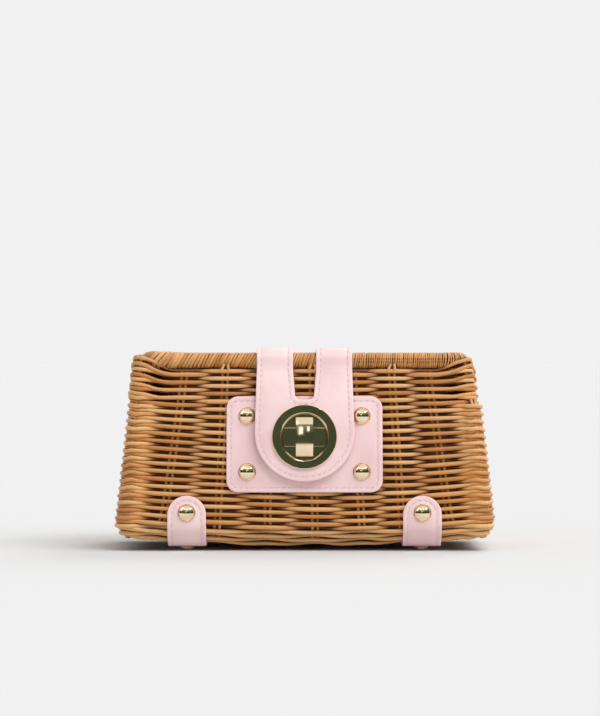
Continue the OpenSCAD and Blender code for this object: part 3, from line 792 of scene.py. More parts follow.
class BAG_OT_wale(bpy.types.Operator):
    """Twists four strands round the lower edge, which dips between the stakes"""
    bl_idname = "bag.wale"
    bl_label = "Base wale"

    def execute(self, context):
        rng = random.Random(5)
        r = sizes().strand_d / MM / 2 * WALE_PLUMP
        lines = []
        for j in range(WALE_STRANDS):
            f = (j + 0.45) / WALL_ROWS
            tone = rng.random()
            side = 1 if j % 2 else -1
            points = []
            for q, i, t in round_the_wall(f, 8):
                phase = math.pi * (i + t)
                dip = (WALE_DIP - WALE_DIP_LESS * j) * math.sin(math.pi * t) ** 2
                z = wall_z(q, f) - dip + side * WALE_SWING * math.cos(phase)
                depth = WALE_DEPTH + side * math.cos(phase + 0.5)
                points.append(tuple(wall_place(q, z, depth)[0]))
            lines.append((points, [r] * len(points), tone))
        mesh = rods("base_wale", lines, closed=True, shade=wall_shade)
        piece("base_wale", mesh, "basket", "cane")
        return {"FINISHED"}


class BAG_OT_stakes(bpy.types.Operator):
    """Sets the pairs of upright stakes, with the bent tips that show over the rim"""
    bl_idname = "bag.stakes"
    bl_label = "Stakes"

    def execute(self, context):
        rng = random.Random(3)
        r = sizes().stake_d / MM / 2
        apart = sizes().stake_gap / MM / 2
        lines = []
        for i in range(STAKE_PAIRS):
            for side in (-1, 1):
                points = self.stake(i, side * apart, r)
                lines.append((points, [r * rng.uniform(0.95, 1.05)] * len(points), rng.random()))
        radii = [r * share for *_, share in TIP_POINTS]
        for i, lean in STAKE_TIPS:
            for side in (-1, 1):
                lines.append((self.tip(i, side, apart, lean), radii, rng.uniform(0.5, 1)))
        mesh = rods("stakes", lines, shade=stake_shade)
        piece("stakes", mesh, "basket", "cane")
        return {"FINISHED"}

    def stake(self, i, aside, r):
        """Points of a stake of pair i, a little to one side of the pair's middle."""
        points = []
        for j in range(STAKE_STEPS + 1):
            f = STAKE_FROM + j / STAKE_STEPS * STAKE_SPAN
            q = stake_places(f)[i]
            at, angle = wall_place(q, wall_z(q, f), STAKE_DEPTH + r * 0.9)
            tangent = Vector((-math.sin(angle), math.cos(angle), 0))
            points.append(tuple(at + tangent * aside))
        return points

    def tip(self, i, side, apart, lean):
        """The bent end of a stake, from inside the front wall out over its rim."""
        x = wall_place(stake_places(0.98)[i], RIM_Z - 2, 0)[0].x
        face = -half_d(RIM_Z)
        return [(x + side * (apart + aside) + lean * share, face - out, RIM_Z + up)
                for aside, share, out, up, _ in TIP_POINTS]


# Ribs of a flat mat: pairs, half the distance in a pair, radius, and how far they stop short
RIBS, RIB_APART, RIB_R, RIB_SHORT = 9, 1.5, 0.85, 0.8
# Strands of a flat mat: distance, steps from rib to rib, how they waver, and spread of the radius
MAT_PITCH, MAT_STEPS, MAT_WAVER, MAT_SPREAD = 2.5, 6, 0.12, (0.95, 1.04)
MAT_EDGE_R, MAT_EDGE_IN, MAT_EDGE_TONE = 1.1, 1.2, 0.4


def mat(name, body, node, mid_z, rise, strand_r, corner, seed, wider=0.0, lift=0.0):
    """A flat mat as large as a node: strands along X pass over one pair of ribs and under the next."""
    rng = random.Random(seed)
    low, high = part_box(node)
    w, d = (high.x - low.x) / MM + wider, (high.y - low.y) / MM + wider
    rows = round(d / MAT_PITCH)
    gap = w / RIBS

    def reach(y):
        past = abs(y) - (d / 2 - corner)
        return w / 2 - (corner - math.sqrt(max(corner ** 2 - past ** 2, 0)) if past > 0 else 0)

    def lifted(x, y):
        return lift * (abs(x * y) * 4 / (w * d)) ** 4

    # Painted shade: darker for strands that lie low in the mat and on their sides
    def shade(points, normals):
        height = np.abs(points[:, 2] - mid_z) / (rise + strand_r)
        return np.clip(1.1 - 1.2 * height + 0.6 * (1 - np.abs(normals[:, 2])) ** 2, 0, 1)

    lines = []
    for k in range(rows):
        y = d * ((k + 0.5) / rows - 0.5)
        end = reach(y) - strand_r
        points = []
        for j in range(RIBS * MAT_STEPS + 1):
            x = -end + 2 * end * j / (RIBS * MAT_STEPS)
            z = mid_z + rise * math.cos(math.pi * (x / gap + k)) + lifted(x, y)
            points.append((x, y + MAT_WAVER * math.sin(x * 0.09 + k * 2), z))
        lines.append((points, [strand_r * rng.uniform(*MAT_SPREAD)] * len(points), rng.random()))
    for i in range(RIBS):
        x = w * ((i + 0.5) / RIBS - 0.5)
        end = d / 2 - RIB_SHORT
        for side in (-RIB_APART, RIB_APART):
            points = [(x + side, share * end, mid_z) for share in (-1, -0.5, 0, 0.5, 1)]
            lines.append((points, [RIB_R] * len(points), rng.random()))
    edge = [(x, y, mid_z + lifted(x, y)) for x, y in
            rounded_outline(w - 2 * MAT_EDGE_IN, d - 2 * MAT_EDGE_IN, corner - MAT_EDGE_IN, 6)]
    mesh = join_meshes(name, [
        rods(name + "_rows", lines, shade=shade),
        rods(name + "_edge", [(edge, [MAT_EDGE_R] * len(edge), MAT_EDGE_TONE)], closed=True,
             shade=shade)])
    piece(name, mesh, body, "cane", [node])


class BAG_OT_mats(bpy.types.Operator):
    """Weaves the flat mats of the base and the lid"""
    bl_idname = "bag.mats"
    bl_label = "Base and lid mats"

    def execute(self, context):
        mat("base_mat", "basket", "basket_base", mid_z=7.02, rise=0.42, strand_r=1.24,
            corner=9.4, seed=21, wider=5.0, lift=3.0)
        mat("lid_mat", "lid", "lid_panel", mid_z=118.9, rise=1.0, strand_r=1.26,
            corner=8.2, seed=22)
        return {"FINISHED"}


# The lid's roll: its core, under the wrapping
CORE_R, CORE_STEPS, CORE_TONE = ROLL_R - 0.75, 120, 0.1
# The wrapping: how flat its cane is, points in a turn, and half its width as a share of the pitch
WRAP_FLAT, WRAP_STEPS, WRAP_HALF = 0.62, 16, 0.53
PITCH_SPREAD, HEIGHT_SPREAD = (0.84, 1.18), (-0.08, 0.12)
# Where the turns fan out, over what length, how far they swell and how much wider they lie
FAN_AT, FAN_WIDE, FAN_SWELL, FAN_PITCH = 403.0, 13.0, 1.0, 0.25
# Slant of the turns, what the left end adds to it, and how it drifts from turn to turn
SLANT, SLANT_LEFT, DRIFT, DRIFT_KEPT = 0.04, 0.5, 0.07, 0.8
# Tone of the turns: its middle, its swing, what the left end adds to that, and what a turn keeps
TONE_MIDDLE, TONE_SWING, TONE_SWING_LEFT, TONE_KEPT = 0.38, 0.35, 0.65, 0.4
# The grooves between turns get painted shade from this far below the roll's surface, over this depth
GROOVE_FROM, GROOVE_DEEP = 0.06, 0.44


def roll_line():
    """Points and outward directions along the middle of the lid's roll, from the front's middle."""
    x, y, r = ROLL_X - ROLL_CORNER_R, ROLL_Y - ROLL_CORNER_R, ROLL_CORNER_R
    corner = math.pi * r / 2
    lengths = (x, corner, 2 * y, corner, 2 * x, corner, 2 * y, corner, x)
    total = sum(lengths)

    def at(s):
        s %= total
        point, angle = Vector((0, -ROLL_Y, ROLL_Z)), -math.pi / 2
        for i, length in enumerate(lengths):
            part = min(s, length)
            if i % 2 == 0:
                point = point + Vector((-math.sin(angle), math.cos(angle), 0)) * part
            else:
                centre = point - Vector((math.cos(angle), math.sin(angle), 0)) * r
                angle += part / r
                point = centre + Vector((math.cos(angle), math.sin(angle), 0)) * r
            s -= part
            if s <= 1e-9:
                break
        return point, Vector((math.cos(angle), math.sin(angle), 0))
    return at, total


def roll_shade(points, normals):
    """Share of painted shade on the roll's wrapping: dark in the grooves between two turns."""
    x, y, r = ROLL_X - ROLL_CORNER_R, ROLL_Y - ROLL_CORNER_R, ROLL_CORNER_R
    past_x, past_y = np.abs(points[:, 0]) - x, np.abs(points[:, 1]) - y
    corner = np.hypot(np.maximum(past_x, 0), np.maximum(past_y, 0))
    off = corner + np.minimum(np.maximum(past_x, past_y), 0) - r
    radius = np.hypot(off, points[:, 2] - ROLL_Z)
    return np.clip((ROLL_R - GROOVE_FROM - radius) / GROOVE_DEEP, 0, 1)


class BAG_OT_roll(bpy.types.Operator):
    """Wraps the roll round the lid with a long flat cane"""
    bl_idname = "bag.roll"
    bl_label = "Lid roll"

    def execute(self, context):
        rng = random.Random(17)
        at, total = roll_line()
        core = [tuple(at(total * i / CORE_STEPS)[0]) for i in range(CORE_STEPS)]
        mesh = rods("roll_core", [(core, [CORE_R] * CORE_STEPS, CORE_TONE)], sides=16, closed=True,
                    shade=roll_shade)
        piece("roll_core", mesh, "lid", "cane_inner")
        wide, narrow = sizes().wrap_wide / MM, sizes().wrap_narrow / MM
        lines = []
        s, tone, drift = 0.0, 0.5, 0.0
        while s < total:
            left = 0.5 - 0.5 * math.sin(s / total * math.tau)
            fan = math.exp(-((s - FAN_AT) / FAN_WIDE) ** 2)
            pitch = (narrow + (wide - narrow) * smooth(left)) * rng.uniform(*PITCH_SPREAD)
            pitch *= 1 + FAN_PITCH * fan
            drift = DRIFT_KEPT * drift + rng.uniform(-DRIFT, DRIFT)
            slant = SLANT + SLANT_LEFT * smooth(left) + drift
            half = pitch * WRAP_HALF
            middle_r = ROLL_R - half * WRAP_FLAT + rng.uniform(*HEIGHT_SPREAD) + FAN_SWELL * fan
            points, outs = self.turn(at, s, slant, middle_r)
            swing = (TONE_SWING + TONE_SWING_LEFT * left) * (rng.random() - 0.5)
            tone = TONE_KEPT * tone + (1 - TONE_KEPT) * (TONE_MIDDLE + swing)
            lines.append((points, [half] * WRAP_STEPS, tone, outs))
            s += pitch
        mesh = rods("roll_wrapping", lines, closed=True, shade=roll_shade, flat=WRAP_FLAT)
        piece("roll_wrapping", mesh, "lid", "cane", ["lid_border"])
        return {"FINISHED"}

    def turn(self, at, s, slant, middle_r):
        """Points and outward directions of the turn of cane at distance s along the roll."""
        points, outs = [], []
        for j in range(WRAP_STEPS):
            phi = math.tau * j / WRAP_STEPS
            middle, out = at(s + slant * ROLL_R * math.sin(phi))
            out = out * math.cos(phi) + Vector((0, 0, math.sin(phi)))
            points.append(tuple(middle + out * middle_r))
            outs.append(tuple(out))
        return points, outs


# Leather pieces

LEATHER_SHARP, LEATHER_EDGE_R = 40, 0.55
STITCH_SUNK, STITCH_SLANT, STITCH_SHARE = 0.1, 0.16, 0.36
# How often the corners of a strap's course are cut to round them
COURSE_ROUNDING = 2
# The pressed seam: steps inwards from the edge's rounding, each with its width and change of height
SEAM_STEPS = ((0.35, -0.12), (0.5, 0.0), (0.35, 0.12))


def arc_points(cx, cy, r, start, end, n):
    """Points of an arc, from one angle to another in degrees."""
    return [(cx + r * math.cos(math.radians(start + (end - start) * i / n)),
             cy + r * math.sin(math.radians(start + (end - start) * i / n))) for i in range(n + 1)]


def rounded_outline(w, h, r, n=8):
    """Points of a rectangle with rounded corners, each with n steps."""
    out = []
    for cx, cy, a in ((1, -1, -90), (1, 1, 0), (-1, 1, 90), (-1, -1, 180)):
        out += arc_points(cx * (w / 2 - r), cy * (h / 2 - r), r, a, a + 90, n)
    return out


class Course:
    """The line that a strap follows, in the Y and Z plane, with rounded bends."""

    def __init__(self, points):
        points = [Vector(p) for p in points]
        for _ in range(COURSE_ROUNDING):
            cut = [points[0]]
            for a, b in zip(points, points[1:]):
                cut += [a.lerp(b, 0.25), a.lerp(b, 0.75)]
            points = cut + [points[-1]]
        self.points = points
        self.run = run_of((b - a).length for a, b in zip(points, points[1:]))
        self.length = self.run[-1]

    def at(self, s):
        """Point and outward direction at distance s."""
        s = min(max(s, 0.0), self.length)
        i = min(bisect_right(self.run, s) - 1, len(self.run) - 2)
        span = self.run[i + 1] - self.run[i] or 1.0
        t = (s - self.run[i]) / span
        a, b = self.points[i], self.points[i + 1]

        def way(j):
            j = min(max(j, 0), len(self.points) - 2)
            return (self.points[j + 1] - self.points[j]).normalized()
        here = way(i)
        mixed = (way(i - 1) + here).lerp(here + way(i + 1), t).normalized()
        return a.lerp(b, t), Vector((mixed.y, -mixed.x))

    def reach(self, z):
        """How far along the course's rising first part the height z lies."""
        low, high = 0.0, self.length * 0.6
        for _ in range(40):
            mid = (low + high) / 2
            if self.at(mid)[0].y < z:
                low = mid
            else:
                high = mid
        return low

    def place(self, x, s, h):
        """Point at x across, s along and h outside the course."""
        point, out = self.at(s)
        point = point + out * h
        return Vector((x, point.x, point.y))


def cut_leather(name, outline, thickness, place, cuts, hole, margin):
    """A piece of leather: cut flat, its edges rounded and its seam pressed in, then laid in place."""
    bm = bmesh.new()
    low, high = -thickness / 2, thickness / 2
    loops = [[bm.verts.new((x, s, low)) for x, s in loop] for loop in (outline, hole) if loop]
    if hole:
        fill_with_hole(bm, loops)
    else:
        bm.faces.new(loops[0])
    draw_out(bm, bm.faces[:], (0, 0, thickness))
    rims = [e for e in bm.edges
            if abs(e.verts[0].co.z - e.verts[1].co.z) < 1e-6 and e.calc_face_angle(0) > 1]
    ease(bm, rims, LEATHER_EDGE_R, 3)
    bm.normal_update()
    top = [f for f in bm.faces if f.normal.z > 0.99 and f.calc_center_median().z > high - 1e-3]
    for width, depth in ((margin - LEATHER_EDGE_R - 0.6, 0.0), *SEAM_STEPS):
        bmesh.ops.inset_region(bm, faces=top, thickness=width, depth=depth,
                               use_even_offset=True, use_boundary=True)
    for at in cuts:
        slice_across(bm, (0, at, 0), (0, 1, 0))
    bmesh.ops.triangulate(bm, faces=[f for f in bm.faces if len(f.verts) > 4])
    for v in bm.verts:
        v.co = place(v.co.x, v.co.y, v.co.z)
    bmesh.ops.recalc_face_normals(bm, faces=bm.faces)
    return mesh_of(bm, name)


def seam_line(outline, inset):
    """The outline moved inwards: points of the seam, in the flat."""
    out = []
    n = len(outline)
    for i in range(n):
        a, b, c = (Vector(outline[(i + j) % n]) for j in (-1, 0, 1))
        first, second = (b - a), (c - b)
        if first.length < 1e-6 or second.length < 1e-6:
            continue
        first.normalize()
        second.normalize()
        m = Vector((-first.y - second.y, first.x + second.x))
        out.append(tuple(b + m * inset / max(1 + first.dot(second), 0.3)))
    return out


def stitches(name, line, place, top):
    """Mesh of the stitches along a flat line, laid on the leather's course."""
    pitch, r = sizes().stitch_pitch / MM, sizes().thread_d / MM / 2
    half = pitch * STITCH_SHARE
    bm = bmesh.new()
    points = [Vector(p) for p in line]
    run = run_of((b - a).length for a, b in zip(points, points[1:]))
    count = max(round(run[-1] / pitch), 1)
    for j in range(count):
        s = (j + 0.5) * run[-1] / count
        i = bisect_left(run, s) - 1
        flat = points[i].lerp(points[i + 1], (s - run[i]) / max(run[i + 1] - run[i], 1e-9))
        way = (points[i + 1] - points[i]).normalized()
        lean = (way + Vector((-way.y, way.x)) * STITCH_SLANT).normalized()
        a = place(flat.x - lean.x * half, flat.y - lean.y * half, top)
        b = place(flat.x + lean.x * half, flat.y + lean.y * half, top)
        over = place(flat.x, flat.y, top + 1.0) - place(flat.x, flat.y, top)
        along = (b - a).normalized()
        across = over.cross(along).normalized()
        over = along.cross(across).normalized()
        matrix = Matrix((across, over, along)).transposed().to_4x4()
        matrix = Matrix.Translation((a + b) / 2 + over * r * 0.1) @ matrix
        matrix = matrix @ Matrix.Diagonal((r, r, (b - a).length / 2 + r * 0.4, 1))
        bmesh.ops.create_uvsphere(bm, u_segments=6, v_segments=5, radius=1.0, matrix=matrix)
    return mesh_of(bm, name)


def sewn_leather(kind, side, outline, thickness, place, body, stands_for, cuts=(), hole=()):
    """Two pieces: leather laid in place, and the stitches of the seam along its edge."""
    margin = sizes().stitch_inset / MM
    name = kind + "_leather" + side
    mesh = cut_leather(name, outline, thickness, place, cuts, hole, margin)
    piece(name, mesh, body, "leather", stands_for, LEATHER_SHARP)
    name = kind + "_stitches" + side
    seam = seam_line(outline, margin)
    mesh = stitches(name, seam + seam[:1], place, thickness / 2 - STITCH_SUNK)
    piece(name, mesh, body, "thread")


PLATE_Z = 66.2
PLATE_W, PLATE_H, PLATE_CORNER_R = 97.0, 60.0, 7.5


class BAG_OT_plate(bpy.types.Operator):
    """Lays the stitched leather plate on the front wall"""
    bl_idname = "bag.plate"
    bl_label = "Front plate"

    def execute(self, context):
        on_wall = front_frame(0, PLATE_Z)
        middle = SEAT + LEATHER_T / 2

        def place(x, s, h):
            return on_wall @ Vector((x, s, h + middle))
        outline = rounded_outline(PLATE_W, PLATE_H, PLATE_CORNER_R)
        sewn_leather("front_plate", "", outline, LEATHER_T, place, "basket", ["front_plate"])
        return {"FINISHED"}


FOOT_X, FOOT_W, FOOT_UNDER_Z = 73.0, 24.0, 5.02
# Heights of the foot strap's points on a wall, and their places along Y under the base
FOOT_HEIGHTS, FOOT_UNDER_YS = (34.5, 26, BULGE_Z, 15, 12, 9, 6.5, FOOT_UNDER_Z), (-30, 0, 30)


def foot_course():
    """From the front wall under the base and up the back wall."""
    side = [(-half_d(z) - SEAT, z) for z in FOOT_HEIGHTS]
    under = [(y, FOOT_UNDER_Z) for y in FOOT_UNDER_YS]
    return Course(side + under + [(-y, z) for y, z in reversed(side)])


class BAG_OT_feet(bpy.types.Operator):
    """Wraps the two foot straps under the base"""
    bl_idname = "bag.feet"
    bl_label = "Foot straps"

    def execute(self, context):
        course = foot_course()
        length, r = course.length, FOOT_W / 2
        outline = arc_points(0, r, r, 180, 360, 20) + arc_points(0, length - r, r, 0, 180, 20)
        cuts = [length * i / 64 for i in range(1, 64)]
        for side, x0 in (("_left", -FOOT_X), ("_right", FOOT_X)):
            def place(x, s, h):
                return course.place(x + x0, s, h + LEATHER_T / 2)
            sewn_leather("foot_strap", side, outline, LEATHER_T, place, "basket",
                         ["foot_strap" + side], cuts)
        return {"FINISHED"}


# Hinge straps: place along X, width, lower end, thickness, and degrees that they reach up the roll
HINGE_X, HINGE_W, HINGE_END_Z, HINGE_T, HINGE_WRAP = 62.0, 18.0, 84.0, 2.0, 42
HINGE_CORNER_R = 4.0
# Y and Z, in metres, of the places where a hinge strap starts and ends its bend
HINGE_BEND = ((0.0385, 0.1095), (0.0385, 0.1165))
WRAP_R = ROLL_R + 0.15


def hinge_course():
    """From the back of the lid's roll down the back wall."""
    path = arc_points(ROLL_Y, ROLL_Z, WRAP_R, HINGE_WRAP, 0, 8)
    path += [(half_d(RIM_Z) + SEAT, RIM_Z - 1), (half_d(HINGE_END_Z) + SEAT, HINGE_END_Z)]
    return Course(path)


class BAG_OT_hinges(bpy.types.Operator):
    """Lays the two hinge straps from the back of the roll down the back wall"""
    bl_idname = "bag.hinges"
    bl_label = "Hinge straps"

    def execute(self, context):
        course = hinge_course()
        length, r = course.length, HINGE_W / 2
        inner = r - HINGE_CORNER_R
        outline = (arc_points(-inner, HINGE_CORNER_R, HINGE_CORNER_R, 180, 270, 6)
                   + arc_points(inner, HINGE_CORNER_R, HINGE_CORNER_R, 270, 360, 6)
                   + arc_points(0, length - r, r, 0, 180, 16))
        cuts = [length * i / 50 for i in range(1, 50)]
        for side, x0 in (("_left", -HINGE_X), ("_right", HINGE_X)):
            def place(x, s, h):
                return course.place(x + x0, s, -(h + HINGE_T / 2))
            start, end = [(x0 * MM, *at) for at in HINGE_BEND]
            sewn_leather("hinge_strap", side, outline, HINGE_T, place,
                         ("basket", "lid", start, end), ["hinge_strap" + side], cuts)
        return {"FINISHED"}


# The closure strap: width of its tongue and above it, the slot between its arms, and the arms
TONGUE_W, STRAP_W, TONGUE_TIP_Z = 62.0, 59.5, 43.4
SLOT_W, SLOT_END_W, SLOT_END_Z, SLOT_R = 14.3, 11.8, 94.2, 3.0
ARM_X, ARM_W, ARM_END_Y = 18.45, 22.6, -2.0
ARM_RIVET_Y = ARM_END_Y - ARM_W / 2
PLATE_TOP = SEAT + LEATHER_T
# Above the plate: the lock's base, a gap, and the plate that clamps the ring from behind
LOCK_BASE_T, BACK_GAP, BACK_T = 1.0, 0.3, 0.8
TONGUE_LOW = PLATE_TOP + LOCK_BASE_T + BACK_GAP + BACK_T
TONGUE_MID = TONGUE_LOW + LEATHER_T / 2
FOLD = (-38.35, 117.0)
LOCK_Z = 70.2
STRAP_HOLE_R = 14.85
# Places, in metres, where the closure strap starts and ends its bend
STRAP_BEND = ((0, -0.0408, 0.1120), (0, -0.0366, 0.1210))
STRAP_CUTS_APART = 2.0


def strap_course():
    """From the tip of the tongue up the front, over the roll and back along the lid."""
    def tongue_y(z):
        return -half_d(z) - TONGUE_MID / math.cos(TILT)
    bend_z = SLOT_END_Z - 2
    path = [(tongue_y(TONGUE_TIP_Z), TONGUE_TIP_Z), (tongue_y(70), 70),
            (tongue_y(bend_z - 2), bend_z - 2),
            ((2 * tongue_y(bend_z) + FOLD[0]) / 3, (2 * bend_z + FOLD[1]) / 3),
            (FOLD[0], FOLD[1] - 1.0)]
    mid_r = WRAP_R + LEATHER_T / 2
    path += arc_points(-ROLL_Y, ROLL_Z, mid_r, 180, 75, 10)
    top = PANEL_TOP + SEAT + LEATHER_T / 2
    path += [(-(ROLL_Y - 2 * ROLL_R), top), (ARM_END_Y, top)]
    return Course(path)


def strap_outline(course):
    """The closure strap cut flat: a round tongue that parts into two arms."""
    tip_r, arm_r = TONGUE_W / 2, ARM_W / 2
    fold, slot = course.reach(FOLD[1]), course.reach(SLOT_END_Z)
    corner_x, arm_s = SLOT_END_W / 2 - SLOT_R, course.length - arm_r
    out = arc_points(0, tip_r, tip_r, 180, 360, 40) + [(STRAP_W / 2, fold)]
    out += arc_points(ARM_X, arm_s, arm_r, 0, 180, 16) + [(SLOT_W / 2, fold)]
    out += arc_points(corner_x, slot + SLOT_R, SLOT_R, 0, -90, 6)
    out += arc_points(-corner_x, slot + SLOT_R, SLOT_R, -90, -180, 6) + [(-SLOT_W / 2, fold)]
    return out + arc_points(-ARM_X, arm_s, arm_r, 0, 180, 16) + [(-STRAP_W / 2, fold)]


class BAG_OT_strap(bpy.types.Operator):
    """Lays the closure strap: one leather over the roll, with a tongue in front"""
    bl_idname = "bag.strap"
    bl_label = "Closure strap"

    def execute(self, context):
        course = strap_course()

        def place(x, s, h):
            return course.place(x, s, -h)
        lock_s = course.reach(LOCK_Z + TONGUE_MID * math.sin(TILT))
        hole = arc_points(0, lock_s, STRAP_HOLE_R, 0, 352.5, 47)
        count = int(course.length / STRAP_CUTS_APART)
        cuts = [i * STRAP_CUTS_APART for i in range(1, count + 1)]
        sewn_leather("closure_strap", "", strap_outline(course), LEATHER_T, place,
                     ("strap_flap", "lid", *STRAP_BEND), ["closure_tongue", "closure_arms"], cuts, hole)
        return {"FINISHED"}


# Metal pieces

# Radius and height of the domed heads: plate and feet, arms, and the hinges' two
HEAD_R, HEAD_H = 5.5, 3.6
ARM_HEAD_R, ARM_HEAD_H = 4.6, 1.9
HINGE_LID_R, HINGE_WALL_R, HINGE_HEAD_H = 3.4, 4.0, 2.8
PLATE_RIVET_X, PLATE_RIVET_ZS, FOOT_RIVET_Z, HINGE_RIVET_Z = 35.5, (49.0, 83.6), 23.8, 93.0
SHANK_R, SHANK_TOP, SHANK_END = 1.45, 0.1, -4
# Width of the thin rolled edge of a domed head, and steps from its middle to there
DOME_EDGE, DOME_STEPS = 0.45, 12
# A foot stud: its place along Y, and its profile from the middle of its foot up to its shank's end
STUD_Y = 30
STUD_PROFILE = ((0, 0), (2.9, 0), (3.5, 0.15), (3.9, 0.6), (4.0, 1.2), (3.9, 2.2), (3.6, 2.62),
                (1.5, 2.62), (1.5, 9.8), (0, 9.8))


def dome_profile(r, h):
    """A domed head on a thin rolled edge, from its middle down to its seat."""
    ball = (r * r + h * h) / (2 * h)
    low = math.asin((r - DOME_EDGE) / ball)
    turns = [low * i / DOME_STEPS for i in range(DOME_STEPS + 1)]
    out = [(ball * math.sin(turn), h - ball + ball * math.cos(turn)) for turn in turns]
    foot = out[-1][1]
    return out + [(r - 0.32, foot * 0.55), (r - 0.1, foot * 0.75), (r, foot * 0.35),
                  (r - 0.1, 0.0), (0, 0.0)]


class BAG_OT_rivets(bpy.types.Operator):
    """Sets the domed rivets of the plate, the foot straps, the arms and the hinges"""
    bl_idname = "bag.rivets"
    bl_label = "Rivets"

    def execute(self, context):
        on_plate = Matrix.Translation((0, 0, PLATE_TOP))
        spots = [front_frame(x, z) @ on_plate
                 for x in (-PLATE_RIVET_X, PLATE_RIVET_X) for z in PLATE_RIVET_ZS]
        self.heads("plate", HEAD_R, HEAD_H, spots, "basket")
        spots = [front_frame(x, FOOT_RIVET_Z, back) @ on_plate
                 for x in (-FOOT_X, FOOT_X) for back in (False, True)]
        self.heads("foot", HEAD_R, HEAD_H, spots, "basket")
        spots = [lid_frame(x, ARM_RIVET_Y) @ on_plate for x in (-ARM_X, ARM_X)]
        self.heads("arm", ARM_HEAD_R, ARM_HEAD_H, spots, "lid")
        on_roll = Matrix.Rotation(math.radians(-90), 4, "X")
        out = ROLL_Y + WRAP_R + HINGE_T + SEAT / 2
        spots = [Matrix.Translation((x, out, ROLL_Z - 0.3)) @ on_roll
                 for x in (-HINGE_X, HINGE_X)]
        self.heads("hinge_lid", HINGE_LID_R, HINGE_HEAD_H, spots, "lid")
        on_hinge = Matrix.Translation((0, 0, SEAT + HINGE_T))
        spots = [front_frame(x, HINGE_RIVET_Z, True) @ on_hinge for x in (-HINGE_X, HINGE_X)]
        self.heads("hinge_wall", HINGE_WALL_R, HINGE_HEAD_H, spots, "basket")
        return {"FINISHED"}

    def heads(self, kind, r, h, spots, body):
        """One piece of like rivets: a head and a shank at each spot."""
        shank = turned_shape([(0, SHANK_TOP), (SHANK_R, SHANK_TOP), (SHANK_R, SHANK_END),
                              (0, SHANK_END)], 16)
        name = kind + "_rivet_heads"
        mesh = join_meshes(name, [copies(name + "_head", turned_shape(dome_profile(r, h), 40), spots),
                                  copies(name + "_shank", shank, spots)])
        piece(name, mesh, body, "gold", [kind + "_rivets"], 50)


class BAG_OT_studs(bpy.types.Operator):
    """Sets the four studs that the bag stands on"""
    bl_idname = "bag.studs"
    bl_label = "Foot studs"

    def execute(self, context):
        spots = [Matrix.Translation((x, y, 0))
                 for x in (-FOOT_X, FOOT_X) for y in (-STUD_Y, STUD_Y)]
        mesh = copies("foot_stud_metal", turned_shape(STUD_PROFILE, 32), spots)
        piece("foot_stud_metal", mesh, "basket", "gold_worn", ["foot_studs"], 35)
        return {"FINISHED"}


TONGUE_TOP = TONGUE_LOW + LEATHER_T
METAL_SHARP = 14
# The ring: radius, radius of the recess in it, thickness and height of the recess's floor
RING_R, RECESS_R, RING_T, RING_FLOOR = 20.0, 14.9, 1.6, 0.8
BACK_R = 18.4
# The slot for the knob, and the lock's base, each with its corners
KEY_W, KEY_H, KEY_R = 26.4, 11.6, 2.0
LOCK_BASE_W, LOCK_BASE_H, LOCK_BASE_R, LOCK_BASE_EASE = 30.0, 20.0, 4.0, 0.3
# The knob: its underside, then heights over that of its wings, shoulders and crown
HEAD_LOW = TONGUE_TOP + RING_T + 0.4
WING_H, SHOULDER_H, CROWN_H = 1.05, 3.3, 4.0
KNOB_W, KNOB_L, KNOB_SHOULDER, KNOB_CROWN, KNOB_EASE = 10.8, 24.0, 7.4, 0.3, 0.45
STEM_R, STEM_FOOT_R, STEM_FOOT_T = 3, 4.5, 0.9


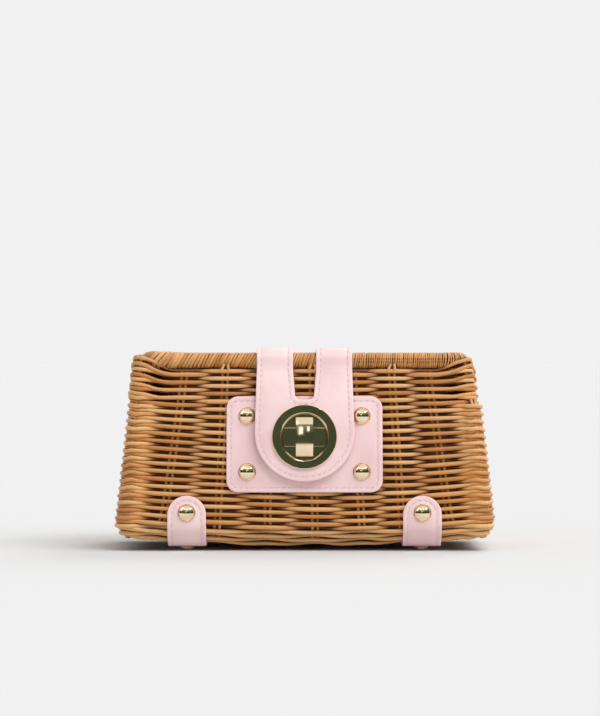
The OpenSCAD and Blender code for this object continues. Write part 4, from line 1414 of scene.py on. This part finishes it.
class BAG_OT_lock(bpy.types.Operator):
    """Makes the turn lock: a ring on the strap, a base on the plate and a turning knob"""
    bl_idname = "bag.lock"
    bl_label = "Turn lock"

    def execute(self, context):
        self.ring()
        self.base()
        self.knob()
        return {"FINISHED"}

    def metal(self, name, mesh, body, node, finish="gold"):
        """Sets a part of the lock, made flat, on the front wall."""
        mesh.transform(front_frame(0, LOCK_Z))
        piece(name, mesh, body, finish, [node], METAL_SHARP)

    def ring(self):
        """The ring with its sunk floor, and the plate that clamps it from behind."""
        t, inner = TONGUE_TOP, RECESS_R + 0.1
        floor = t + RING_FLOOR
        profile = [(inner - 1.4, t), (RING_R - 0.2, t), (RING_R, t + 0.2), (RING_R, t + 1.3),
                   (RING_R - 0.12, t + RING_T - 0.06), (RING_R - 0.3, t + RING_T),
                   (inner + 0.25, t + RING_T), (inner, t + RING_T - 0.08),
                   (inner - 0.65, floor + 0.05), (inner - 0.75, floor), (inner - 1.4, floor),
                   (inner - 1.4, t)]
        turned = mesh_of(turned_shape(profile, 96), "lock_ring_turned")
        plate = self.slotted_plate(inner - 0.3, TONGUE_LOW + 0.05, floor, 0.1)
        mesh = join_meshes("lock_ring_metal", [turned, plate])
        self.metal("lock_ring_metal", mesh, "strap_flap", "lock_ring")
        low = PLATE_TOP + LOCK_BASE_T + BACK_GAP
        back = self.slotted_plate(BACK_R, low, low + BACK_T, 0.15)
        self.metal("lock_ring_back_metal", back, "strap_flap", "lock_ring_back", "gold_worn")

    def slotted_plate(self, r, low, high, edge):
        """A flat disc with the knob's slot through it, its upper edges eased."""
        bm = bmesh.new()
        disc, key = arc_points(0, 0, r, 0, 360, 96)[:-1], rounded_outline(KEY_W, KEY_H, KEY_R, 5)
        fill_with_hole(bm, [[bm.verts.new((x, y, low)) for x, y in loop] for loop in (disc, key)])
        draw_out(bm, bm.faces[:], (0, 0, high - low))
        rims = [e for e in bm.edges if len(e.link_faces) == 2 and e.calc_face_angle(0) > 1.2
                and all(v.co.z > high - 1e-4 for v in e.verts)]
        ease(bm, rims, edge, 2)
        return mesh_of(bm, "slotted_plate")

    def base(self):
        """The base that holds the knob on the leather plate."""
        bm = bmesh.new()
        outline = rounded_outline(LOCK_BASE_W, LOCK_BASE_H, LOCK_BASE_R, 6)
        face = bm.faces.new([bm.verts.new((x, y, PLATE_TOP)) for x, y in outline])
        draw_out(bm, [face], (0, 0, LOCK_BASE_T))
        rims = [e for e in bm.edges if all(v.co.z > PLATE_TOP + 0.9 for v in e.verts)]
        ease(bm, rims, LOCK_BASE_EASE, 2)
        self.metal("lock_base_metal", mesh_of(bm, "lock_base_metal"), "basket", "lock_base")

    def knob(self):
        """The turning bar: an arc between two wings, its crown lower towards the sides."""
        low, wing = HEAD_LOW, HEAD_LOW + WING_H
        shoulder, crown = HEAD_LOW + SHOULDER_H, HEAD_LOW + CROWN_H
        rise = crown - shoulder
        r = (KNOB_SHOULDER ** 2 + rise ** 2) / (2 * rise)
        half = math.degrees(math.asin(KNOB_SHOULDER / r))
        profile = ([(-KNOB_L / 2, low), (-KNOB_L / 2, wing)]
                   + arc_points(0, crown - r, r, 90 + half, 90 - half, 14)
                   + [(KNOB_L / 2, wing), (KNOB_L / 2, low)])
        bm = bmesh.new()
        face = bm.faces.new([bm.verts.new((-KNOB_W / 2, y, z)) for y, z in profile])
        draw_out(bm, [face], (KNOB_W, 0, 0))
        for i in range(-3, 4):
            slice_across(bm, (i * KNOB_W / 8, 0, 0), (1, 0, 0))
        for v in bm.verts:
            if v.co.z > shoulder - 0.01:
                v.co.z -= KNOB_CROWN * (2 * v.co.x / KNOB_W) ** 2
        sharp = [e for e in bm.edges if e.calc_face_angle(0) > math.radians(30)]
        ease(bm, sharp, KNOB_EASE, 3)
        foot, top = PLATE_TOP - 1 + STEM_FOOT_T, HEAD_LOW + 0.5
        stem = turned_shape([(0, PLATE_TOP - 1), (STEM_FOOT_R, PLATE_TOP - 1), (STEM_FOOT_R, foot),
                             (STEM_R, foot), (STEM_R, top), (0, top)], 32)
        mesh = join_meshes("lock_knob_metal", [mesh_of(bm, "knob_bar"), mesh_of(stem, "knob_stem")])
        self.metal("lock_knob_metal", mesh, "knob", "lock_knob")


class BAG_OT_inner_metal(bpy.types.Operator):
    """Gives the model's own caps and washer their metal"""
    bl_idname = "bag.inner_metal"
    bl_label = "Caps and washer"

    def execute(self, context):
        for name in ("plate_rivet_caps", "arm_rivet_caps", "hinge_wall_caps",
                     "foot_rivet_caps", "foot_stud_caps", "lock_washer"):
            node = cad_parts[name]
            node.data.materials.clear()
            node.data.materials.append(finish_of("gold_worn"))
        return {"FINISHED"}


# The studio

# Grey of the backdrop and of the floor, and strength of the world's light
PALE, FLOOR, WORLD_LIGHT = 0.880, 0.711, 0.52
FLOOR_SIZE = 60.0
CAMERA_AT = (-0.0028, -1.6, 0.120)
LENS = 125.9
# Suns: name, strength, width in degrees and direction towards them
SUNS = (
    ("key", 1.16, 34, (0.30, -0.62, 1.0)),
    ("side", 1.10, 40, (0.85, -0.40, 0.80)),
    ("back", 0.80, 35, (0.50, 0.70, 0.90)),
)
# Glowing sheets that are no lamps, seen only in shiny pieces: they paint the reflections and highlights
# there
# The dark room: radius, degrees that it reaches round, and heights where it starts to pale and ends
ROOM_R, ROOM_ROUND, ROOM_PALES, ROOM_TOP = 2.2, 220, 0.74, 2.15
ROOM_FOOT_COLOUR, ROOM_TOP_COLOUR = (0.047, 0.065, 0.042), (0.36, 0.44, 0.40)
# Soft boxes that paint highlights in shiny pieces: turn about Z, place, tilt, size and glow
BOXES = (
    ("lit_panel", 0, (0, -1.0, 2.3), 0, (3.4, 2.2), (0.80, 0.79, 0.74)),
    ("warm_box", 0, (0, -1.2, 1.85), 34, (0.5, 0.34), (1.08, 0.97, 0.85)),
    ("left_box", -28, (0, -1.5, 1.85), 38, (0.7, 0.7), (1.3, 1.25, 1.15)),
    ("left_wall", -84, (0, -1.6, 1.50), 45, (1.5, 1.5), (1.5, 1.45, 1.3)),
    ("left_glow", -10.5, (0, -2.14, 0.76), 66, (0.44, 0.90), (0.40, 0.44, 0.36)),
    ("left_spark", -6.0, (0, -2.0, 0.90), 66, (0.26, 0.50), (1.35, 1.35, 1.3)),
    ("right_spark", 6.6, (0, -2.0, 1.02), 64, (0.16, 0.34), (1.35, 1.35, 1.3)),
)


class BAG_OT_stage(bpy.types.Operator):
    """Sets the pale floor, the soft light and the camera"""
    bl_idname = "bag.stage"
    bl_label = "Studio"

    def execute(self, context):
        scene = context.scene
        camera = bpy.data.cameras.new("camera")
        camera.lens = LENS
        camera.sensor_width = 36
        camera.clip_start, camera.clip_end = 0.05, 200
        holder = link("camera", camera)
        holder.location = CAMERA_AT
        holder.rotation_euler = (math.radians(90), 0, 0)
        scene.camera = holder
        scene.view_settings.view_transform = "Standard"
        self.world(scene)
        self.floor()
        self.lamps()
        self.cards()
        return {"FINISHED"}

    def world(self, scene):
        """Even light, with a pale backdrop for the camera and for reflections."""
        world = bpy.data.worlds.new("studio")
        world.use_nodes = True
        scene.world = world
        tree = world.node_tree
        nodes, links = tree.nodes, tree.links
        light = nodes["Background"]
        light.inputs["Color"].default_value = (1, 1, 1, 1)
        light.inputs["Strength"].default_value = WORLD_LIGHT
        shown = nodes.new("ShaderNodeBackground")
        shown.inputs["Color"].default_value = (PALE, PALE, PALE, 1)
        ray = nodes.new("ShaderNodeLightPath")
        either = nodes.new("ShaderNodeMath")
        either.operation = "MAXIMUM"
        links.new(ray.outputs["Is Camera Ray"], either.inputs[0])
        links.new(ray.outputs["Is Glossy Ray"], either.inputs[1])
        mix = nodes.new("ShaderNodeMixShader")
        links.new(either.outputs[0], mix.inputs[0])
        links.new(light.outputs[0], mix.inputs[1])
        links.new(shown.outputs[0], mix.inputs[2])
        links.new(mix.outputs[0], nodes["World Output"].inputs["Surface"])

    def floor(self):
        bm = bmesh.new()
        bmesh.ops.create_grid(bm, x_segments=1, y_segments=1, size=FLOOR_SIZE)
        floor = link("floor", mesh_of(bm, "floor"))
        f = Finish("floor")
        f.shader.inputs["Specular IOR Level"].default_value = 0.0
        floor.data.materials.append(f.surface(base_color=(FLOOR, FLOOR, FLOOR), roughness=1.0))

    def lamps(self):
        for name, energy, spread, toward in SUNS:
            sun = bpy.data.lights.new(name, "SUN")
            sun.energy = energy
            sun.angle = math.radians(spread)
            holder = link(name, sun)
            holder.rotation_euler = Vector(toward).to_track_quat("Z", "Y").to_euler()

    def cards(self):
        """Painted reflections, seen only in shiny pieces: a dark room, a lit panel above and soft boxes."""
        room = bmesh.new()
        start = Vector((0, -ROOM_R, 0))
        start.rotate(Matrix.Rotation(math.radians(-ROOM_ROUND / 2), 3, "Z"))
        ends = [room.verts.new((start.x, start.y, z)) for z in (0.0, ROOM_TOP)]
        line = room.edges.new(ends)
        bmesh.ops.spin(room, geom=ends + [line], cent=(0, 0, 0), axis=(0, 0, 1),
                       angle=math.radians(ROOM_ROUND), steps=48)
        self.card("dark_room", room, ROOM_FOOT_COLOUR, ROOM_TOP_COLOUR)
        for name, turn, at, tilt, size, colour in BOXES:
            box = bmesh.new()
            bmesh.ops.create_grid(box, x_segments=1, y_segments=1, size=0.5,
                                  matrix=Matrix.Rotation(math.radians(turn), 4, "Z")
                                  @ Matrix.Translation(at)
                                  @ Matrix.Rotation(math.radians(tilt), 4, "X")
                                  @ Matrix.Diagonal((*size, 1, 1)))
            self.card(name, box, colour)

    def card(self, name, bm, colour, upper=None):
        """A glowing surface for reflections only; its colour may change towards its upper edge."""
        card = link(name, mesh_of(bm, name))
        f = Finish(name)
        if upper:
            height = f.node("SeparateXYZ", {}, (f.place(),), output=2)
            colour = f.mix(f.ramp(height, ROOM_PALES, ROOM_TOP), colour, upper)
        card.data.materials.append(f.surface(
            base_color=(0, 0, 0), roughness=1.0, specular_ior_level=0.0,
            emission_color=colour, emission_strength=1.0))
        card.visible_camera = False
        card.visible_diffuse = False
        card.visible_shadow = False
        card.visible_transmission = False


OPERATORS = (
    BAG_OT_weave, BAG_OT_wale, BAG_OT_stakes, BAG_OT_mats, BAG_OT_roll,
    BAG_OT_plate, BAG_OT_feet, BAG_OT_hinges, BAG_OT_strap, BAG_OT_rivets, BAG_OT_studs,
    BAG_OT_lock, BAG_OT_inner_metal, BAG_OT_stage,
)


class BAG_PT_panel(bpy.types.Panel):
    """The bag's sizes, colours and pieces"""
    bl_idname = "BAG_PT_panel"
    bl_label = "Cane box bag"
    bl_space_type = "VIEW_3D"
    bl_region_type = "UI"
    bl_category = "Bag"

    def draw(self, context):
        for group in (context.scene.bag_sizes, context.scene.bag_colours):
            for key in group.__annotations__:
                self.layout.prop(group, key)
        for operator in OPERATORS:
            self.layout.operator(operator.bl_idname)


CLASSES = (BagSizes, BagColours, *OPERATORS, BAG_PT_panel)


def register():
    for cls in CLASSES:
        bpy.utils.register_class(cls)
    bpy.types.Scene.bag_sizes = PointerProperty(type=BagSizes)
    bpy.types.Scene.bag_colours = PointerProperty(type=BagColours)


def unregister():
    del bpy.types.Scene.bag_colours
    del bpy.types.Scene.bag_sizes
    for cls in reversed(CLASSES):
        bpy.utils.unregister_class(cls)


def main():
    register()
    for operator in OPERATORS:
        group, name = operator.bl_idname.split(".")
        getattr(getattr(bpy.ops, group), name)()


if __name__ == "__main__":
    main()
